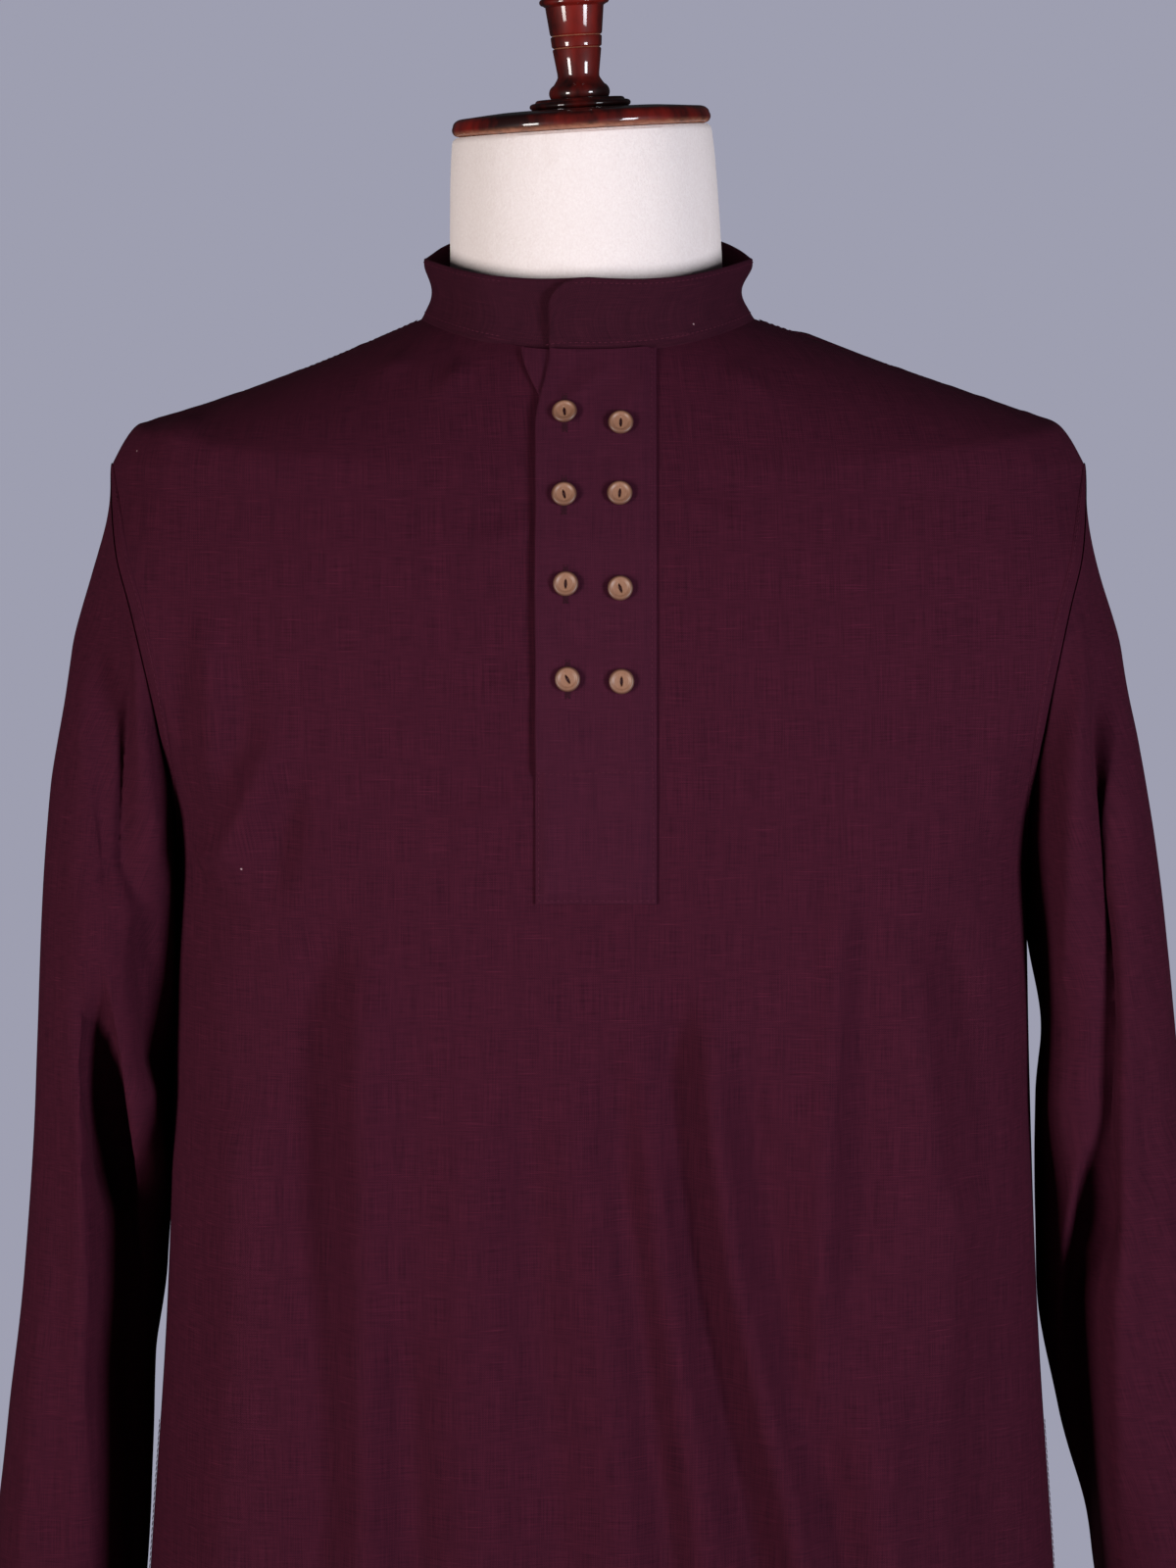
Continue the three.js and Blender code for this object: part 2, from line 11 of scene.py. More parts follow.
import bpy
import numpy as np
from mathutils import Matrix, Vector


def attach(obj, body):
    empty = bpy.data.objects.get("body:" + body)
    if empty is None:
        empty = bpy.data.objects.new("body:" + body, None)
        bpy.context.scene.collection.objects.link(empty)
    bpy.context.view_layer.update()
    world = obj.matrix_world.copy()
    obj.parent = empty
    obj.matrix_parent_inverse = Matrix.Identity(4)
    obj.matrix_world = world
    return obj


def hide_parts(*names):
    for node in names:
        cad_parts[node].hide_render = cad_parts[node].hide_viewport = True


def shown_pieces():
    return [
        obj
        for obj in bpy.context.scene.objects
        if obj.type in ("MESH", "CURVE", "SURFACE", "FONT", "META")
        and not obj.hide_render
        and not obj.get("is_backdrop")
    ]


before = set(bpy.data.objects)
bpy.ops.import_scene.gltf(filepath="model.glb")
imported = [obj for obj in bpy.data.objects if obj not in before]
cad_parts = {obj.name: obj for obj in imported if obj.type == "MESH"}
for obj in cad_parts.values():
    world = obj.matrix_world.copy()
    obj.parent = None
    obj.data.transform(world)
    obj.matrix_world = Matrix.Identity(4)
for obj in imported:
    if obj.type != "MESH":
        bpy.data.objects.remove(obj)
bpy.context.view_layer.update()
MM = 0.001  # the shapes below are in millimetres, as a cutter works, and meshes are in metres


def new_object(name, data):
    made = bpy.data.objects.new(name, data)
    bpy.context.scene.collection.objects.link(made)
    return made


# %% [markdown]
# ## Camera
# A long lens from chest height, tipped down a little, keeps the cut undistorted. It is placed
# first, so that every later look at the scene is framed the same way.

# %% Camera
camera_lens = bpy.data.cameras.new("camera")
camera_lens.lens = 122
camera = new_object("camera", camera_lens)
camera.location = (-0.004, -2.614, 1.527)
camera.rotation_euler = (math.radians(84), 0, 0)
bpy.context.scene.camera = camera
print("camera", round(camera.location.length, 2), "m from the foot of the stand")

# %% [markdown]
# ## Studio
# Two tall soft boxes of about equal strength stand left and right of the camera, a warm one and a
# cool one. Their beams are narrow, so the light falls off towards the sides and the hem. Two more
# behind keep the back readable, and make no highlights. The surroundings give almost no light, so
# the valleys beside the sleeves stay dark, but the camera sees them as a plain grey-blue. The
# floor is a pale disc.


# %% Lights, surroundings and floor
def soft_box(name, azimuth, distance, height, size, power, tint=(1, 1, 1), spread=180, aim=1.25):
    """A tall soft box, azimuth degrees round from straight in front, facing the tunic."""
    light = bpy.data.lights.new(name, "AREA")
    light.shape = "RECTANGLE"
    light.size, light.size_y = size
    light.energy = power
    light.color = tint
    light.spread = math.radians(spread)
    box = new_object(name, light)
    turn = math.radians(azimuth)
    box.location = (distance * math.sin(turn), -distance * math.cos(turn), height)
    box.rotation_euler = (Vector((0, 0, aim)) - box.location).to_track_quat("-Z", "Y").to_euler()
    box.visible_camera = False
    return box


WARM = (1.0, 0.955, 0.92)
COOL = (0.955, 0.985, 1.06)
for name, azimuth, power, tint in (("key_box", -45, 8.5, WARM), ("fill_box", 44, 8.8, COOL)):
    soft_box(name, azimuth, 2.2, 1.2, (0.55, 1.1), power, tint, spread=76)
for name, azimuth, power in (("back_box_left", 194, 40), ("back_box_right", 167, 32)):
    soft_box(name, azimuth, 3.0, 1.4, (0.9, 1.4), power).visible_glossy = False

world = bpy.data.worlds.new("studio")
bpy.context.scene.world = world
world.use_nodes = True
world_nodes = world.node_tree.nodes
seen = world_nodes["Background"]
seen.inputs["Color"].default_value = (0.342, 0.346, 0.438, 1)
lighting = world_nodes.new("ShaderNodeBackground")
lighting.inputs["Color"].default_value = (0.62, 0.64, 0.72, 1)
lighting.inputs["Strength"].default_value = 0.035
ray = world_nodes.new("ShaderNodeLightPath")
choose = world_nodes.new("ShaderNodeMixShader")
for start, end in ((ray.outputs["Is Camera Ray"], choose.inputs["Fac"]),
                   (lighting.outputs[0], choose.inputs[1]), (seen.outputs[0], choose.inputs[2]),
                   (choose.outputs[0], world_nodes["World Output"].inputs["Surface"])):
    world.node_tree.links.new(start, end)
bpy.context.scene.view_settings.view_transform = "Standard"

bpy.ops.mesh.primitive_circle_add(vertices=96, radius=1.5, fill_type="NGON")
floor = bpy.context.object
floor.name = "floor"
floor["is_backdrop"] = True

# %% [markdown]
# ## Small tools
# The form is described by sizes that follow the height. `curve_through` runs a smooth curve
# through such pairs without overshooting, and works on whole arrays at once.


# %% Curves and blends
def mix(a, b, t):
    return a + (b - a) * t


def smooth(t):
    s = np.clip(t, 0, 1)
    return s * s * (3 - 2 * s)


def curve_through(*pairs):
    """A smooth curve through (height, size) pairs, which never swings past them."""
    at = np.array([p[0] for p in pairs], float)
    size = np.array([p[1] for p in pairs], float)
    rise = np.diff(size) / np.diff(at)
    before = np.concatenate([rise[:1], rise])
    after = np.concatenate([rise, rise[-1:]])
    agree = before * after > 0
    slope = np.where(agree, 2 * before * after / np.where(agree, before + after, 1), 0)

    def size_at(height):
        i = np.clip(np.searchsorted(at, height) - 1, 0, len(at) - 2)
        span = at[i + 1] - at[i]
        t = np.clip((height - at[i]) / span, 0, 1)
        bend = t * (1 - t) * span
        return mix(size[i], size[i + 1], smooth(t)) + bend * ((1 - t) * slope[i] - t * slope[i + 1])

    return size_at


def wander(at, length, seed):
    """Smooth seeded noise from -1 to 1 along a line, changing about once in each length."""
    draws = np.random.default_rng(seed).uniform(-1, 1, 512)
    place = np.asarray(at, float) / length + 40
    i = np.floor(place).astype(int) % 511
    return mix(draws[i], draws[i + 1], smooth(place - np.floor(place)))


print("curve check:", curve_through((0, 0), (1, 1), (2, 1))(np.array([0.5, 1.5])))

# %% [markdown]
# ## The form of the two panels
# The front and back meet at the side seams, at the shoulder seams and round the armholes. Up to
# the shoulder point a level section is a softened oval. Above it the section shrinks to the neck
# opening. `u` runs from -1 to 1 across a panel, `side` is -1 for the front and 1 for the back.

# %% Driving sizes, in millimetres
SEAM = 0.3
HEM_Z = 460
SLIT_Z = 938
UNDERARM_Z = 1212
SHOULDER_Z = 1411
NECK_FRONT_Z = 1468
NECK_SIDE_Z = 1482
NECK_BACK_Z = 1487
CUFF_Z = 800
SHOULDER_HALF = 238.5
NECK_HALF = 80
NECK_FRONT = 66
NECK_BACK = 70
NECK_SHIFT = -4
SLIT_OPEN = 11
ARMHOLE_DEPTH = 72
SHOULDER_SAG = 3.6

panel_half = curve_through(
    (HEM_Z, 252), (860, 226), (1000, 216), (1120, 211), (UNDERARM_Z, 208.5), (1240, 207.5),
    (1260, 209), (1291, 214), (1320, 220), (1345, 226), (1370, 233), (SHOULDER_Z, SHOULDER_HALF))
panel_depth = {
    -1: curve_through((HEM_Z, 134), (860, 126), (1000, 123), (UNDERARM_Z, 122), (1320, 115),
                      (1370, 106), (SHOULDER_Z, 92)),
    1: curve_through((HEM_Z, 128), (860, 120), (1000, 117), (UNDERARM_Z, 119), (1310, 121),
                     (1370, 114), (SHOULDER_Z, 102)),
}
panel_square = curve_through((HEM_Z, 2.5), (1000, 2.9), (1250, 3), (SHOULDER_Z, 2.4))
panel_shift = curve_through((HEM_Z, 3), (UNDERARM_Z, 3), (SHOULDER_Z, 1))


# %% Panel form
def across(u, sharp, round_off):
    return np.maximum(0, 1 - np.abs(u) ** sharp) ** (1 / round_off)


def soften(a, b):
    """The larger of two depths, with the change from one to the other rounded off."""
    return (np.abs(a) ** 2.5 + np.abs(b) ** 2.5) ** (1 / 2.5)


def edge_depth(z):
    """How far a panel's side edge stands in front of, or behind, the shoulder line."""
    swing = SLIT_OPEN * np.clip((SLIT_Z - z) / (SLIT_Z - HEM_Z), 0, 1) ** 1.2
    up_armhole = np.clip((z - UNDERARM_Z) / (SHOULDER_Z - UNDERARM_Z), 0, 1)
    return SEAM / 2 + swing + ARMHOLE_DEPTH * np.maximum(0, np.sin(math.pi * up_armhole)) ** 0.6


def shoulder_climb(h):
    """The shoulder seam's share of the climb to the neck: a short roll, then a slope."""
    roll, roll_share = 0.21, 0.09
    return (1 - roll) * h + roll * np.sin(np.clip(h / roll_share, 0, 1) * math.pi / 2)


def neck_seam_z(side, u):
    middle = np.where(np.asarray(side) < 0, NECK_FRONT_Z, NECK_BACK_Z)
    return mix(middle, NECK_SIDE_Z, np.abs(u) ** 2.4)


def level_width(level):
    h = np.clip(level - SHOULDER_Z, 0, 1)
    half = np.where(h > 0, mix(SHOULDER_HALF, NECK_HALF, h), panel_half(np.minimum(level, SHOULDER_Z)))
    shift = np.where(h > 0, mix(panel_shift(SHOULDER_Z), NECK_SHIFT, h), panel_shift(level))
    return half, shift


def panel_point(side, u, level):
    """A point of a panel. level is the height up to the shoulder, then 0 to 1 more to the neck."""
    u, level = np.broadcast_arrays(np.asarray(u, float), np.asarray(level, float))
    z = np.minimum(level, SHOULDER_Z)
    h = np.clip(level - SHOULDER_Z, 0, 1)
    square = panel_square(z)
    chest = soften(panel_depth[side](z) * across(u, square, square), edge_depth(z) * np.abs(u) ** 3)
    neck = SEAM / 2 + (NECK_FRONT if side < 0 else NECK_BACK) * across(u, 2, 2)
    half, shift = level_width(level)
    climb = mix(h, shoulder_climb(h), np.abs(u) ** 3)
    x = shift + half * u
    sag = SHOULDER_SAG * np.sin(math.pi * h) * np.maximum(-u, 0) ** 3
    top = z + (neck_seam_z(side, u) - z) * climb * (h > 0) - sag
    return np.stack([x, side * mix(chest, neck, h), top], -1)


print("front at the chest:", panel_point(-1, 0.0, 1250.0).round(1))

# %% [markdown]
# ## Creases
# A crease is a line drawn on the cloth in front view, with a height, and a width on each side of
# the line. A ridge with one narrow side reads as a fold that has turned over. Heights add up, and
# each crease swells out of flat cloth at its ends unless it runs off the hem.


# %% Crease tools
def crease(points, height, left, right=None, swell=45, fade=45):
    return {"line": np.array(points, float), "height": height, "left": left,
            "right": left if right is None else right, "swell": swell, "fade": fade}


def crease_height(creases, x, z):
    """How far out the creases lift the cloth at each front-view place."""
    total = np.zeros(np.broadcast(x, z).shape)
    for one in creases:
        line = one["line"]
        nearest = np.full(total.shape, 1e9)
        along = np.zeros(total.shape)
        sign = np.zeros(total.shape)
        travelled = 0.0
        for (x0, z0), (x1, z1) in zip(line[:-1], line[1:]):
            run = math.hypot(x1 - x0, z1 - z0)
            ax, az = (x1 - x0) / run, (z1 - z0) / run
            t = (x - x0) * ax + (z - z0) * az
            held = np.clip(t, 0, run)
            off = np.hypot(x - x0 - ax * held, z - z0 - az * held)
            closer = off < nearest
            nearest = np.where(closer, off, nearest)
            along = np.where(closer, travelled + held, along)
            sign = np.where(closer, (z - z0) * ax - (x - x0) * az, sign)
            travelled += run
        width = np.where(sign > 0, one["right"], one["left"])
        ends = smooth(along / max(one["swell"], 0.1)) if one["swell"] else 1
        if one["fade"]:
            ends = ends * smooth((travelled - along) / one["fade"])
        total += one["height"] * ends * np.exp(-((nearest / width) ** 2))
    return total


# %% Creases of the front
FRONT_CREASES = [
    # the long fold that falls from beside the placket's foot to the hem, right of the middle
    crease([(37, 1180), (43, 1087), (50, 1030), (63, 973), (76, 916), (97, 800), (118, 640), (140, 460)],
           -3.6, 13, 10, fade=0),
    crease([(49, 1165), (57, 1087), (65, 1030), (77, 973), (91, 916), (112, 800), (137, 640), (160, 460)],
           3.0, 11, 12, fade=0),
    crease([(63, 1143), (75, 1087), (83, 1030), (95, 973), (112, 916), (133, 800), (158, 600), (178, 460)],
           -1.9, 13, fade=0),
    # a shallow one under the placket, with a ridge on each side
    crease([(8, 1150), (15, 1059), (22, 1002), (29, 944), (34, 916), (45, 800), (60, 600), (70, 460)],
           -2.9, 13, 10, fade=0),
    crease([(23, 1110), (33, 1030), (40, 973), (46, 916), (60, 780), (76, 600), (88, 460)], 1.7, 12, fade=0),
    crease([(-1, 1080), (8, 1002), (12, 944), (14, 916), (18, 800), (28, 620), (34, 460)], 1.4, 14, fade=0),
    crease([(-33, 1130), (-28, 1002), (-20, 930), (-14, 800), (-8, 620), (-6, 460)], -1.7, 12, fade=0),
    crease([(-60, 1120), (-62, 1000), (-58, 880), (-52, 700), (-48, 460)], 1.6, 16, fade=0),
    # left of the middle
    crease([(-92, 1020), (-92, 944), (-89, 916), (-92, 800), (-98, 600), (-104, 460)], -2.2, 12, fade=0),
    crease([(-108, 1190), (-112, 1115), (-110, 1087), (-112, 1002), (-112, 916), (-118, 800), (-130, 600),
            (-140, 460)], 2.5, 14, fade=0),
    crease([(-122, 1215), (-132, 1172), (-133, 1115), (-132, 1030), (-128, 973), (-126, 916), (-135, 800),
            (-150, 600), (-160, 460)], -2.4, 15, fade=0),
    crease([(-156, 1200), (-158, 1143), (-147, 1087), (-153, 1030), (-162, 1002)], -1.6, 20),
    crease([(-170, 1120), (-172, 1000), (-180, 860), (-192, 680), (-202, 460)], 3, 18, fade=0),
    # right of the middle
    crease([(119, 1240), (117, 1200), (114, 1143), (109, 1087), (107, 1030), (105, 985), (103, 930)], 1.7, 9),
    crease([(126, 1225), (124, 1172), (123, 1143), (127, 1059), (118, 1000)], -1.3, 11),
    crease([(155, 1190), (162, 1087), (174, 1050), (178, 1010), (168, 950)], 1.4, 12),
    crease([(168, 1215), (172, 1143), (180, 1100), (184, 1040)], -2.6, 12),
    crease([(130, 990), (134, 930), (144, 840), (158, 700), (172, 460)], 2.4, 15, fade=0),
    crease([(186, 1060), (190, 960), (198, 800), (208, 640), (216, 460)], -3, 16, fade=0),
    # drags that run to the underarms and down from the armholes
    crease([(-148, 1296), (-155, 1276), (-164, 1254), (-178, 1228), (-193, 1220)], 3.6, 9, swell=30, fade=8),
    crease([(-140, 1275), (-148, 1250), (-153, 1225), (-158, 1195)], -2.4, 9, swell=30),
    crease([(-172, 1325), (-168, 1300), (-164, 1276)], -1.8, 8, swell=25, fade=25),
    crease([(-187, 1352), (-184, 1311), (-183, 1283), (-188, 1250)], 2.6, 8, swell=30, fade=25),
    crease([(-204, 1330), (-199, 1300), (-196, 1268), (-196, 1235)], -2.6, 6, swell=30, fade=12),
    crease([(150, 1345), (166, 1325), (178, 1290)], 1.2, 12),
    crease([(168, 1316), (182, 1280), (193, 1245)], -1.4, 9),
    crease([(184, 1300), (192, 1262), (198, 1230)], 1.8, 7, fade=10),
    # short pulls beside the placket, and creases that fan from the side of the neck
    crease([(-82, 1239), (-56, 1250), (-31, 1258)], 0.9, 5, swell=30, fade=4),
    crease([(-82, 1299), (-56, 1305), (-31, 1312)], 0.9, 5, swell=30, fade=4),
    crease([(-64, 1376), (-48, 1380), (-30, 1383)], 0.8, 5, swell=20, fade=4),
    crease([(34, 1400), (56, 1392), (84, 1380)], 0.7, 5, swell=8, fade=25),
    crease([(-86, 1466), (-98, 1460), (-112, 1450)], 1.3, 5, swell=12, fade=20),
    crease([(-60, 1464), (-70, 1452), (-82, 1442)], 1.1, 5, swell=10, fade=20),
    crease([(62, 1462), (76, 1450), (92, 1438)], 0.9, 6, swell=10, fade=20),
    # puckers of the shoulder seams
    crease([(-213, 1424), (-200, 1431), (-188, 1435)], 2.6, 7, swell=10, fade=10),
]
print(len(FRONT_CREASES), "creases on the front")

# %% Creases of the back
BACK_CREASES = [
    crease([(-52, 1190), (-60, 1090), (-68, 960), (-80, 760), (-96, 460)], 4.4, 14, fade=0),
    crease([(-28, 1150), (-34, 1040), (-40, 900), (-48, 700), (-58, 460)], -3, 13, fade=0),
    crease([(-90, 1130), (-98, 1000), (-110, 820), (-128, 460)], -2.8, 15, fade=0),
    crease([(-128, 1180), (-136, 1040), (-150, 820), (-168, 460)], 3, 15, fade=0),
    crease([(0, 1080), (2, 980), (4, 800), (6, 460)], 2.2, 14, fade=0),
    crease([(60, 1185), (68, 1080), (78, 940), (92, 740), (104, 460)], 4.2, 13, fade=0),
    crease([(34, 1160), (40, 1040), (48, 880), (56, 700), (62, 460)], -3, 12, fade=0),
    crease([(98, 1120), (106, 980), (118, 800), (138, 460)], -3, 14, fade=0),
    crease([(138, 1190), (144, 1050), (158, 820), (178, 460)], 3, 15, fade=0),
    crease([(-186, 1225), (-160, 1262), (-132, 1290)], 2.8, 9, swell=8, fade=40),
    crease([(-188, 1245), (-170, 1290), (-150, 1320)], -1.8, 8, swell=8, fade=30),
    crease([(190, 1225), (164, 1258), (134, 1284)], 2.8, 9, swell=8, fade=40),
    crease([(190, 1250), (176, 1292), (158, 1324)], -1.8, 8, swell=8, fade=30),
    crease([(-70, 1452), (-30, 1436), (0, 1432), (34, 1437), (72, 1452)], 1.5, 7, swell=25, fade=25),
    crease([(84, 1476), (108, 1468), (135, 1456), (160, 1444), (182, 1434)], 10, 12, swell=22, fade=26),
]
print(len(BACK_CREASES), "creases on the back")

# %% [markdown]
# ## Cloth walls
# Each cloth is a grid of points with a second grid inside it and rims round the free edges, so it
# is one closed body. The cut's own measure, along the weft and the warp, is kept as a UV map in
# metres, and the weave follows it.


# %% Wall builder
def grid_normals(grid, wrap=False):
    if wrap:
        side = np.roll(grid, -1, 1) - np.roll(grid, 1, 1)
    else:
        side = np.concatenate([grid[:, 1:2] - grid[:, :1], grid[:, 2:] - grid[:, :-2],
                               grid[:, -1:] - grid[:, -2:-1]], 1)
    up = np.concatenate([grid[1:2] - grid[:1], grid[2:] - grid[:-2], grid[-1:] - grid[-2:-1]], 0)
    normal = np.cross(side, up)
    return normal / np.maximum(np.linalg.norm(normal, axis=-1, keepdims=True), 1e-9)


def strip_of_faces(index):
    """Quads of a grid of point numbers, facing outwards."""
    corners = [index[:-1, :-1], index[:-1, 1:], index[1:, 1:], index[1:, :-1]]
    return np.stack(corners, -1).reshape(-1, 4)


def new_piece(name, points, faces, cut, order, crisp):
    """A mesh object in metres, from points in millimetres. cut is the cloth's own measure, kept
    as a UV map, and order is the place in it of each face's corners."""
    mesh = bpy.data.meshes.new(name)
    mesh.from_pydata((points * MM).tolist(), [], faces)
    layer = mesh.uv_layers.new(name="cut")
    layer.data.foreach_set("uv", (cut[order] * MM).astype(np.float32).ravel())
    mesh.shade_smooth()
    mesh.set_sharp_from_angle(angle=math.radians(crisp))
    return new_object(name, mesh)


def cloth_wall(name, outer, inner, cut, wrap=False):
    """A closed wall between two grids. cut holds (weft, warp) for each point and, on a tube,
    for one more column where it closes."""
    rows, columns = outer.shape[:2]
    number = np.arange(rows * columns).reshape(rows, columns)
    if wrap:
        number = np.concatenate([number, number[:, :1]], 1)
    inside = number + rows * columns
    cut_number = np.arange(rows * cut.shape[1]).reshape(rows, cut.shape[1])
    sheets = [(number, cut_number), (inside[:, ::-1], cut_number[:, ::-1])]
    sheets.append((np.stack([inside[0], number[0]]), np.stack([cut_number[0]] * 2)))
    sheets.append((np.stack([number[-1], inside[-1]]), np.stack([cut_number[-1]] * 2)))
    if not wrap:
        first = np.stack([cut_number[:, 0]] * 2, 1)
        last = np.stack([cut_number[:, -1]] * 2, 1)
        sheets.append((np.stack([inside[:, 0], number[:, 0]], 1), first))
        sheets.append((np.stack([number[:, -1], inside[:, -1]], 1), last))
    faces = np.concatenate([strip_of_faces(points) for points, _ in sheets])
    cut_faces = np.concatenate([strip_of_faces(points) for _, points in sheets])
    both = np.concatenate([outer.reshape(-1, 3), inner.reshape(-1, 3)])
    return new_piece(name, both, faces.tolist(), cut.reshape(-1, 2), cut_faces.reshape(-1), crisp=60)


def along_rows(grid):
    """The distance along each row, from its middle."""
    gaps = np.linalg.norm(np.diff(grid, axis=1), axis=-1)
    run = np.concatenate([np.zeros((len(grid), 1)), np.cumsum(gaps, 1)], 1)
    return run - run[:, run.shape[1] // 2][:, None]


def report(piece):
    print(f"{piece.name}: {len(piece.data.polygons)} faces")


# %% [markdown]
# ## The weave
# The cloth is a plain weave of uneven yarn: dark threads one way and maroon threads the other,
# thicker in places, with short slubs across. One node group makes the weave's tone and its relief
# from the cut's own measure, so the body, the sleeves, the collar and the placket share it.


# %% Node helpers
def add_node(tree, kind, values=(), **settings):
    node = tree.nodes.new(kind)
    for key, value in settings.items():
        setattr(node, key, value)
    for key, value in dict(values).items():
        node.inputs[key].default_value = value
    return node


def join(tree, start, end):
    tree.links.new(start, end)


def calculate(tree, operation, first, second=None, third=None):
    """A Math node whose inputs are sockets or numbers."""
    node = tree.nodes.new("ShaderNodeMath")
    node.operation = operation
    for socket, value in zip(node.inputs, (first, second, third)):
        if value is None:
            continue
        if isinstance(value, (int, float)):
            socket.default_value = value
        else:
            tree.links.new(value, socket)
    return node.outputs[0]


def stretched_noise(tree, vector, scale, detail=2.0, rough=0.5):
    """Noise whose grains are longer one way: scale is how many there are in a metre each way."""
    sized = add_node(tree, "ShaderNodeVectorMath", operation="MULTIPLY")
    sized.inputs[1].default_value = scale
    join(tree, vector, sized.inputs[0])
    noise = add_node(tree, "ShaderNodeTexNoise", {"Scale": 1.0, "Detail": detail, "Roughness": rough})
    join(tree, sized.outputs[0], noise.inputs["Vector"])
    return noise.outputs["Fac"]


def clamped(tree, value, top=1.0):
    """The value, held between 0 and top."""
    node = add_node(tree, "ShaderNodeClamp", {"Max": top})
    join(tree, value, node.inputs[0])
    return node.outputs[0]


def new_group(name, inputs, outputs):
    group = bpy.data.node_groups.new(name, "ShaderNodeTree")
    for label, kind, value in inputs:
        socket = group.interface.new_socket(label, in_out="INPUT", socket_type=kind)
        if value is not None:
            socket.default_value = value
    for label, kind in outputs:
        group.interface.new_socket(label, in_out="OUTPUT", socket_type=kind)
    return group, group.nodes.new("NodeGroupInput"), group.nodes.new("NodeGroupOutput")


# %% Weave group
def make_weave():
    group, given, result = new_group(
        "uneven_weave",
        [("Cut", "NodeSocketVector", None), ("Thread", "NodeSocketFloat", 0.00052),
         ("Slub", "NodeSocketFloat", 1.0)],
        [("Tone", "NodeSocketFloat"), ("Relief", "NodeSocketFloat"), ("Lint", "NodeSocketFloat")])
    cut = given.outputs["Cut"]
    shake = stretched_noise(group, cut, (90, 90, 1), 1.0)
    parts = add_node(group, "ShaderNodeSeparateXYZ")
    join(group, cut, parts.inputs[0])
    swing = calculate(group, "MULTIPLY", shake, 0.0016)
    weft_at = calculate(group, "ADD", parts.outputs["X"], swing)
    warp_at = calculate(group, "ADD", parts.outputs["Y"], swing)
    across_threads = calculate(group, "DIVIDE", weft_at, given.outputs["Thread"])
    along_threads = calculate(group, "DIVIDE", warp_at, given.outputs["Thread"])
    warp_round = calculate(group, "ABSOLUTE", calculate(
        group, "SINE", calculate(group, "MULTIPLY", across_threads, math.pi)))
    weft_round = calculate(group, "ABSOLUTE", calculate(
        group, "SINE", calculate(group, "MULTIPLY", along_threads, math.pi)))
    steps = calculate(group, "ADD", calculate(group, "FLOOR", across_threads),
                      calculate(group, "FLOOR", along_threads))
    over = calculate(group, "FLOORED_MODULO", steps, 2.0)
    warp_part = calculate(group, "MULTIPLY", warp_round, over)
    weft_part = calculate(group, "MULTIPLY", weft_round, calculate(group, "SUBTRACT", 1.0, over))
    threads = calculate(group, "ADD", warp_part, weft_part)
    # yarns that run thick and thin, as streaks down the warp and slubs along the weft
    streaks = stretched_noise(group, cut, (1900, 40, 1), 2.0, 0.7)
    broad = stretched_noise(group, cut, (260, 7, 1), 2.0, 0.5)
    slubs = stretched_noise(group, cut, (70, 1900, 1), 2.0, 0.7)
    rare = stretched_noise(group, cut, (45, 1500, 1), 1.0, 0.5)
    rare_slubs = calculate(group, "MULTIPLY", calculate(
        group, "MAXIMUM", calculate(group, "SUBTRACT", rare, 0.66), 0.0), 4.0)
    uneven = calculate(group, "ADD", calculate(group, "SUBTRACT", streaks, 0.5),
                       calculate(group, "SUBTRACT", slubs, 0.5))
    uneven = calculate(group, "MULTIPLY", uneven, given.outputs["Slub"])
    tone = calculate(group, "MULTIPLY_ADD", uneven, 0.9, 0.42)
    tone = calculate(group, "MULTIPLY_ADD", calculate(group, "SUBTRACT", broad, 0.5), 0.16, tone)
    tone = calculate(group, "MULTIPLY_ADD", over, 0.16, tone)
    tone = calculate(group, "ADD", tone, rare_slubs)
    join(group, clamped(group, tone), result.inputs["Tone"])
    relief = calculate(group, "MULTIPLY_ADD", uneven, 0.9, threads)
    join(group, calculate(group, "ADD", relief, rare_slubs), result.inputs["Relief"])
    # a few pale specks of lint
    cells = add_node(group, "ShaderNodeTexVoronoi", {"Scale": 34.0})
    join(group, cut, cells.inputs["Vector"])
    small = calculate(group, "LESS_THAN", cells.outputs["Distance"], 0.017)
    shade = add_node(group, "ShaderNodeSeparateColor")
    join(group, cells.outputs["Color"], shade.inputs[0])
    few = calculate(group, "GREATER_THAN", shade.outputs[0], 0.93)
    join(group, calculate(group, "MULTIPLY", small, few), result.inputs["Lint"])
    return group


weave = make_weave()
print("weave group nodes:", len(weave.nodes))


# %% Cottons
def new_material(name):
    material = bpy.data.materials.new(name)
    material.use_nodes = True
    return material, material.node_tree, material.node_tree.nodes["Principled BSDF"]


def dress(tree, shader, colour, height, strength, distance, **finish):
    """The shader's colour, its relief in metres, and its other values by input name."""
    join(tree, colour, shader.inputs["Base Color"])
    bump = add_node(tree, "ShaderNodeBump", {"Strength": strength, "Distance": distance})
    join(tree, height, bump.inputs["Height"])
    join(tree, bump.outputs[0], shader.inputs["Normal"])
    for key, value in finish.items():
        shader.inputs[key.replace("_", " ")].default_value = value


def mix_colours(tree, factor, first, second):
    node = add_node(tree, "ShaderNodeMix", data_type="RGBA")
    for socket, value in zip((node.inputs["Factor"], node.inputs[6], node.inputs[7]),
                             (factor, first, second)):
        if isinstance(value, (tuple, float, int)):
            socket.default_value = value
        else:
            join(tree, value, socket)
    return node.outputs[2]


